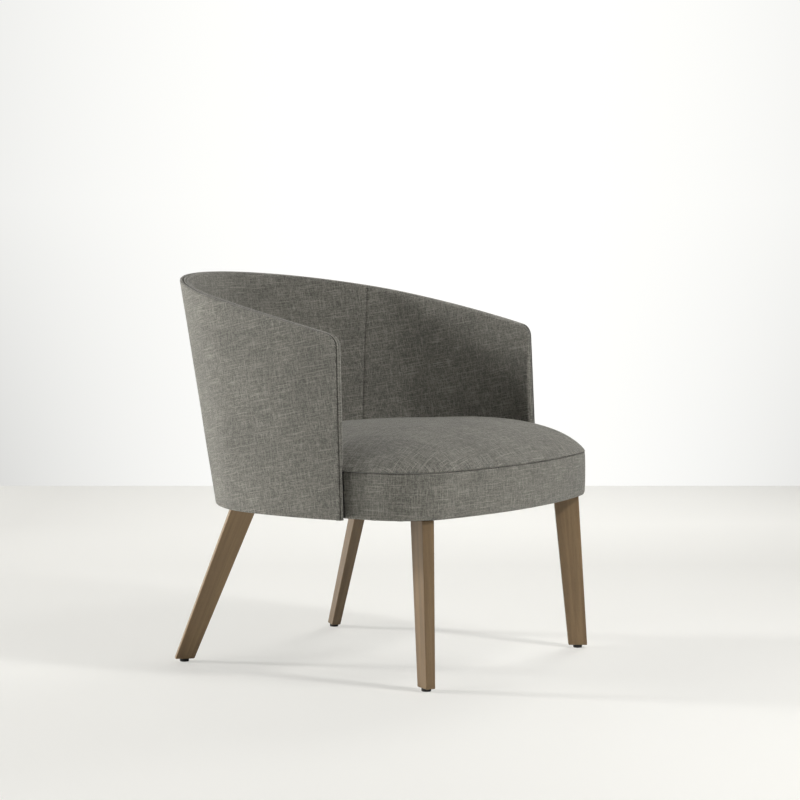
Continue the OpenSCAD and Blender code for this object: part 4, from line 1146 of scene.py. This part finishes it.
belt_part = add_node(belt_growth, "GeometryNodeSplineParameter").outputs["Factor"]
belt_end = calc(belt_growth, "MINIMUM", belt_part, calc(belt_growth, "SUBTRACT", 1.0, belt_part))
belt_fade = spread(belt_growth, belt_end, (0.05, 0.10), kind="SMOOTHSTEP")
belt_lift = product(belt_growth, belt_share, belt_fade, belt_given["Rise"])
belt_up = add_node(belt_growth, "ShaderNodeCombineXYZ", {2: belt_lift}).outputs[0]
belt_line = add_node(belt_growth, "GeometryNodeSetPosition", {"Geometry": belt_line, "Offset": belt_up})
belt_line = add_node(belt_growth, "GeometryNodeSetCurveNormal", {"Curve": belt_line.outputs[0]}, mode="Z_UP")
belt_line = belt_line.outputs[0]
belt_shape = add_node(belt_growth, "GeometryNodeCurvePrimitiveQuadrilateral",
                      {"Width": belt_given["Width"], "Height": belt_given["Thickness"]})
belt_body = add_node(belt_growth, "GeometryNodeCurveToMesh", {
    "Curve": belt_line, "Profile Curve": belt_shape.outputs[0], "Fill Caps": True})
finish_tree(belt_growth, belt_given, belt_body)
belt_start = sum(corner.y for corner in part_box("webbing_cross")) / 2
for way, turned, side, line in (("long", 0.0, 0, 1), ("cross", 1.0, 1, 0)):
    node = "webbing_" + way
    corners = np.array([v.co for v in frame["nodes"][node].data.vertices])
    centre = sum(corner[side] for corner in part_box(node)) / 2
    ends, phases = [], []
    for k in range(-(belt_count // 2), belt_count // 2 + 1):
        level = centre + k * belt_step
        mine = corners[np.abs(corners[:, side] - level) < belt_step / 2]
        for end in (mine[:, line].min() + belt_hold, mine[:, line].max() - belt_hold):
            place = [0.0, 0.0, belt_low]
            place[side], place[line] = level, end
            ends.append(place)
            phases.append((k + turned) % 2)
    belts = grow("belts_" + way, ends, [(2 * k, 2 * k + 1) for k in range(belt_count)],
                 {"phase": phases, "turned": [turned] * len(ends)}, belt_growth,
                 {"Width": belt_wide, "Thickness": belt_thick, "Step": belt_step, "Start": belt_start,
                  "Rise": belt_rise, "Material": belting})
    declare(belts, node)

# Dust cover: a black non-woven sheet stretched under the frame and stapled to its rails
dust_edge = seat_outline(0.0118, underside)
dust_middle = np.array([0.0, -0.02])
leg_tops = np.array([[side * top[0], top[1]] for _, top, _, _ in leg_kinds for side in (1.0, -1.0)])
rings = []
for share in [0.0, 0.012, *np.linspace(0.04, 0.97, 22)]:
    ring = dust_middle + (dust_edge - dust_middle) * (1 - share)
    clear = np.min(np.linalg.norm(ring[:, None] - leg_tops[None], axis=-1), axis=1)
    sag = 0.0016 * min(1.0, share * 4) * np.clip((clear - 0.04) / 0.05, 0, 1)
    unevenness = 0.7 + 0.3 * ripple(ring[:, 0], ring[:, 1], 0.09, 7.0)
    rings.append(in_room(ring, underside + 0.0003 - sag * unevenness))
points, faces = ring_mesh(rings, rings[-1].mean(0))
dust_sheet = make_piece("dust_sheet", points, faces, points[:, :2], (0.0, 0.0, 0.60), True)
thicken(dust_sheet, 0.0005)
dust_stuff = grained_material("black_non_woven", 0.9, (0.012, 0.012, 0.012), (0.050, 0.050, 0.050),
                              700.0, 3.0)
dust_tree = dust_stuff.node_tree
dust_spot = add_node(dust_tree, "ShaderNodeTexCoord").outputs["Object"]
dust_dimples = add_node(dust_tree, "ShaderNodeTexVoronoi", {"Vector": dust_spot, "Scale": 620.0})
add_bump(dust_tree, dust_tree.nodes["Principled BSDF"], dust_dimples.outputs["Distance"], 0.5, 0.0003)
declare(dust_sheet, "dust_cover", dust_stuff)

# Staples: flat-crowned wire staples that hold the dust cover to the rails and the outside cover's hem
# under the plywood. Each stands where the frame's own staple is.
staple_wide, staple_wire, staple_leg, wire_sides = 0.010, 0.001, 0.0073, 6
staple_growth, staple_given = new_geometry_tree("staple_rows", "Width", "Wire", "Leg")
half_wide = calc(staple_growth, "SUBTRACT", staple_given["Width"], staple_given["Wire"])
half_wide = product(staple_growth, half_wide, 0.5)
bends = []
for sign, reach in ((-1.0, staple_given["Leg"]), (-1.0, 0.0), (1.0, 0.0), (1.0, staple_given["Leg"])):
    bend_side = product(staple_growth, half_wide, sign)
    bends.append(add_node(staple_growth, "ShaderNodeCombineXYZ", {0: bend_side, 2: reach}).outputs[0])
staple_bars = add_node(staple_growth, "GeometryNodeJoinGeometry")
for bar_from, bar_to in zip(bends, bends[1:]):
    bar = add_node(staple_growth, "GeometryNodeCurvePrimitiveLine", {"Start": bar_from, "End": bar_to})
    staple_growth.links.new(bar.outputs[0], staple_bars.inputs[0])
staple_round = add_node(staple_growth, "GeometryNodeCurvePrimitiveCircle", {
    "Resolution": wire_sides, "Radius": product(staple_growth, staple_given["Wire"], 0.5)})
staple_body = add_node(staple_growth, "GeometryNodeCurveToMesh", {
    "Curve": staple_bars.outputs[0], "Profile Curve": staple_round.outputs[0], "Fill Caps": True})
staple_turn = add_node(staple_growth, "GeometryNodeInputNamedAttribute", {"Name": "turn"}, data_type="FLOAT")
staple_turn = add_node(staple_growth, "ShaderNodeCombineXYZ", {2: staple_turn.outputs[0]})
staple_set = add_node(staple_growth, "GeometryNodeInstanceOnPoints", {
    "Points": staple_given["Geometry"], "Instance": staple_body.outputs[0],
    "Rotation": staple_turn.outputs[0]})
finish_tree(staple_growth, staple_given, staple_set)
for node in ("dust_cover_staples", "hem_staples"):
    corners = np.array([v.co for v in frame["nodes"][node].data.vertices])
    crown_level = corners[:, 2].min() + staple_wire / 2
    places, turns = [], []
    while len(corners):
        near = np.linalg.norm(corners[:, :2] - corners[0, :2], axis=1) < staple_wide * 1.2
        middle = corners[near, :2].mean(0)
        longest = np.linalg.svd(corners[near, :2] - middle, full_matrices=False)[2][0]
        turns.append(math.atan2(longest[1], longest[0]))
        places.append([*middle, crown_level])
        corners = corners[~near]
    staples = grow("staples_" + node.removesuffix("_staples"), places, [], {"turn": turns}, staple_growth,
                   {"Width": staple_wide, "Wire": staple_wire, "Leg": staple_leg, "Material": zinc})
    declare(staples, node)

# Frame and fastenings keep their CAD forms, with finishes of their own
beech = grained_material("sawn_beech", 0.7, (0.42, 0.27, 0.15), (0.66, 0.48, 0.30), 1.0, 5.0,
                         stretch=(9.0, 70.0, 70.0), relief=(0.3, 0.0004))
plywood = grained_material("moulded_plywood", 0.6, (0.46, 0.31, 0.18), (0.68, 0.52, 0.34), 1.0, 5.0,
                           stretch=(60.0, 60.0, 5.0))
moulding = grained_material("black_moulding", 0.5, (0.010, 0.010, 0.010), (0.024, 0.024, 0.024), 900.0, 2.0)
finishes = {"frame_wood": beech, "shell_plywood": plywood, "steel": zinc, "glide_plastic": moulding,
            "spacer_plastic": moulding}
for part in frame["record"]["subparts"]:
    finish = finishes.get(part["material_slot"])
    node = bpy.data.objects.get(part["node"])
    if finish is not None and node is not None and node.type == "MESH":
        for slot in node.material_slots:
            slot.material = finish
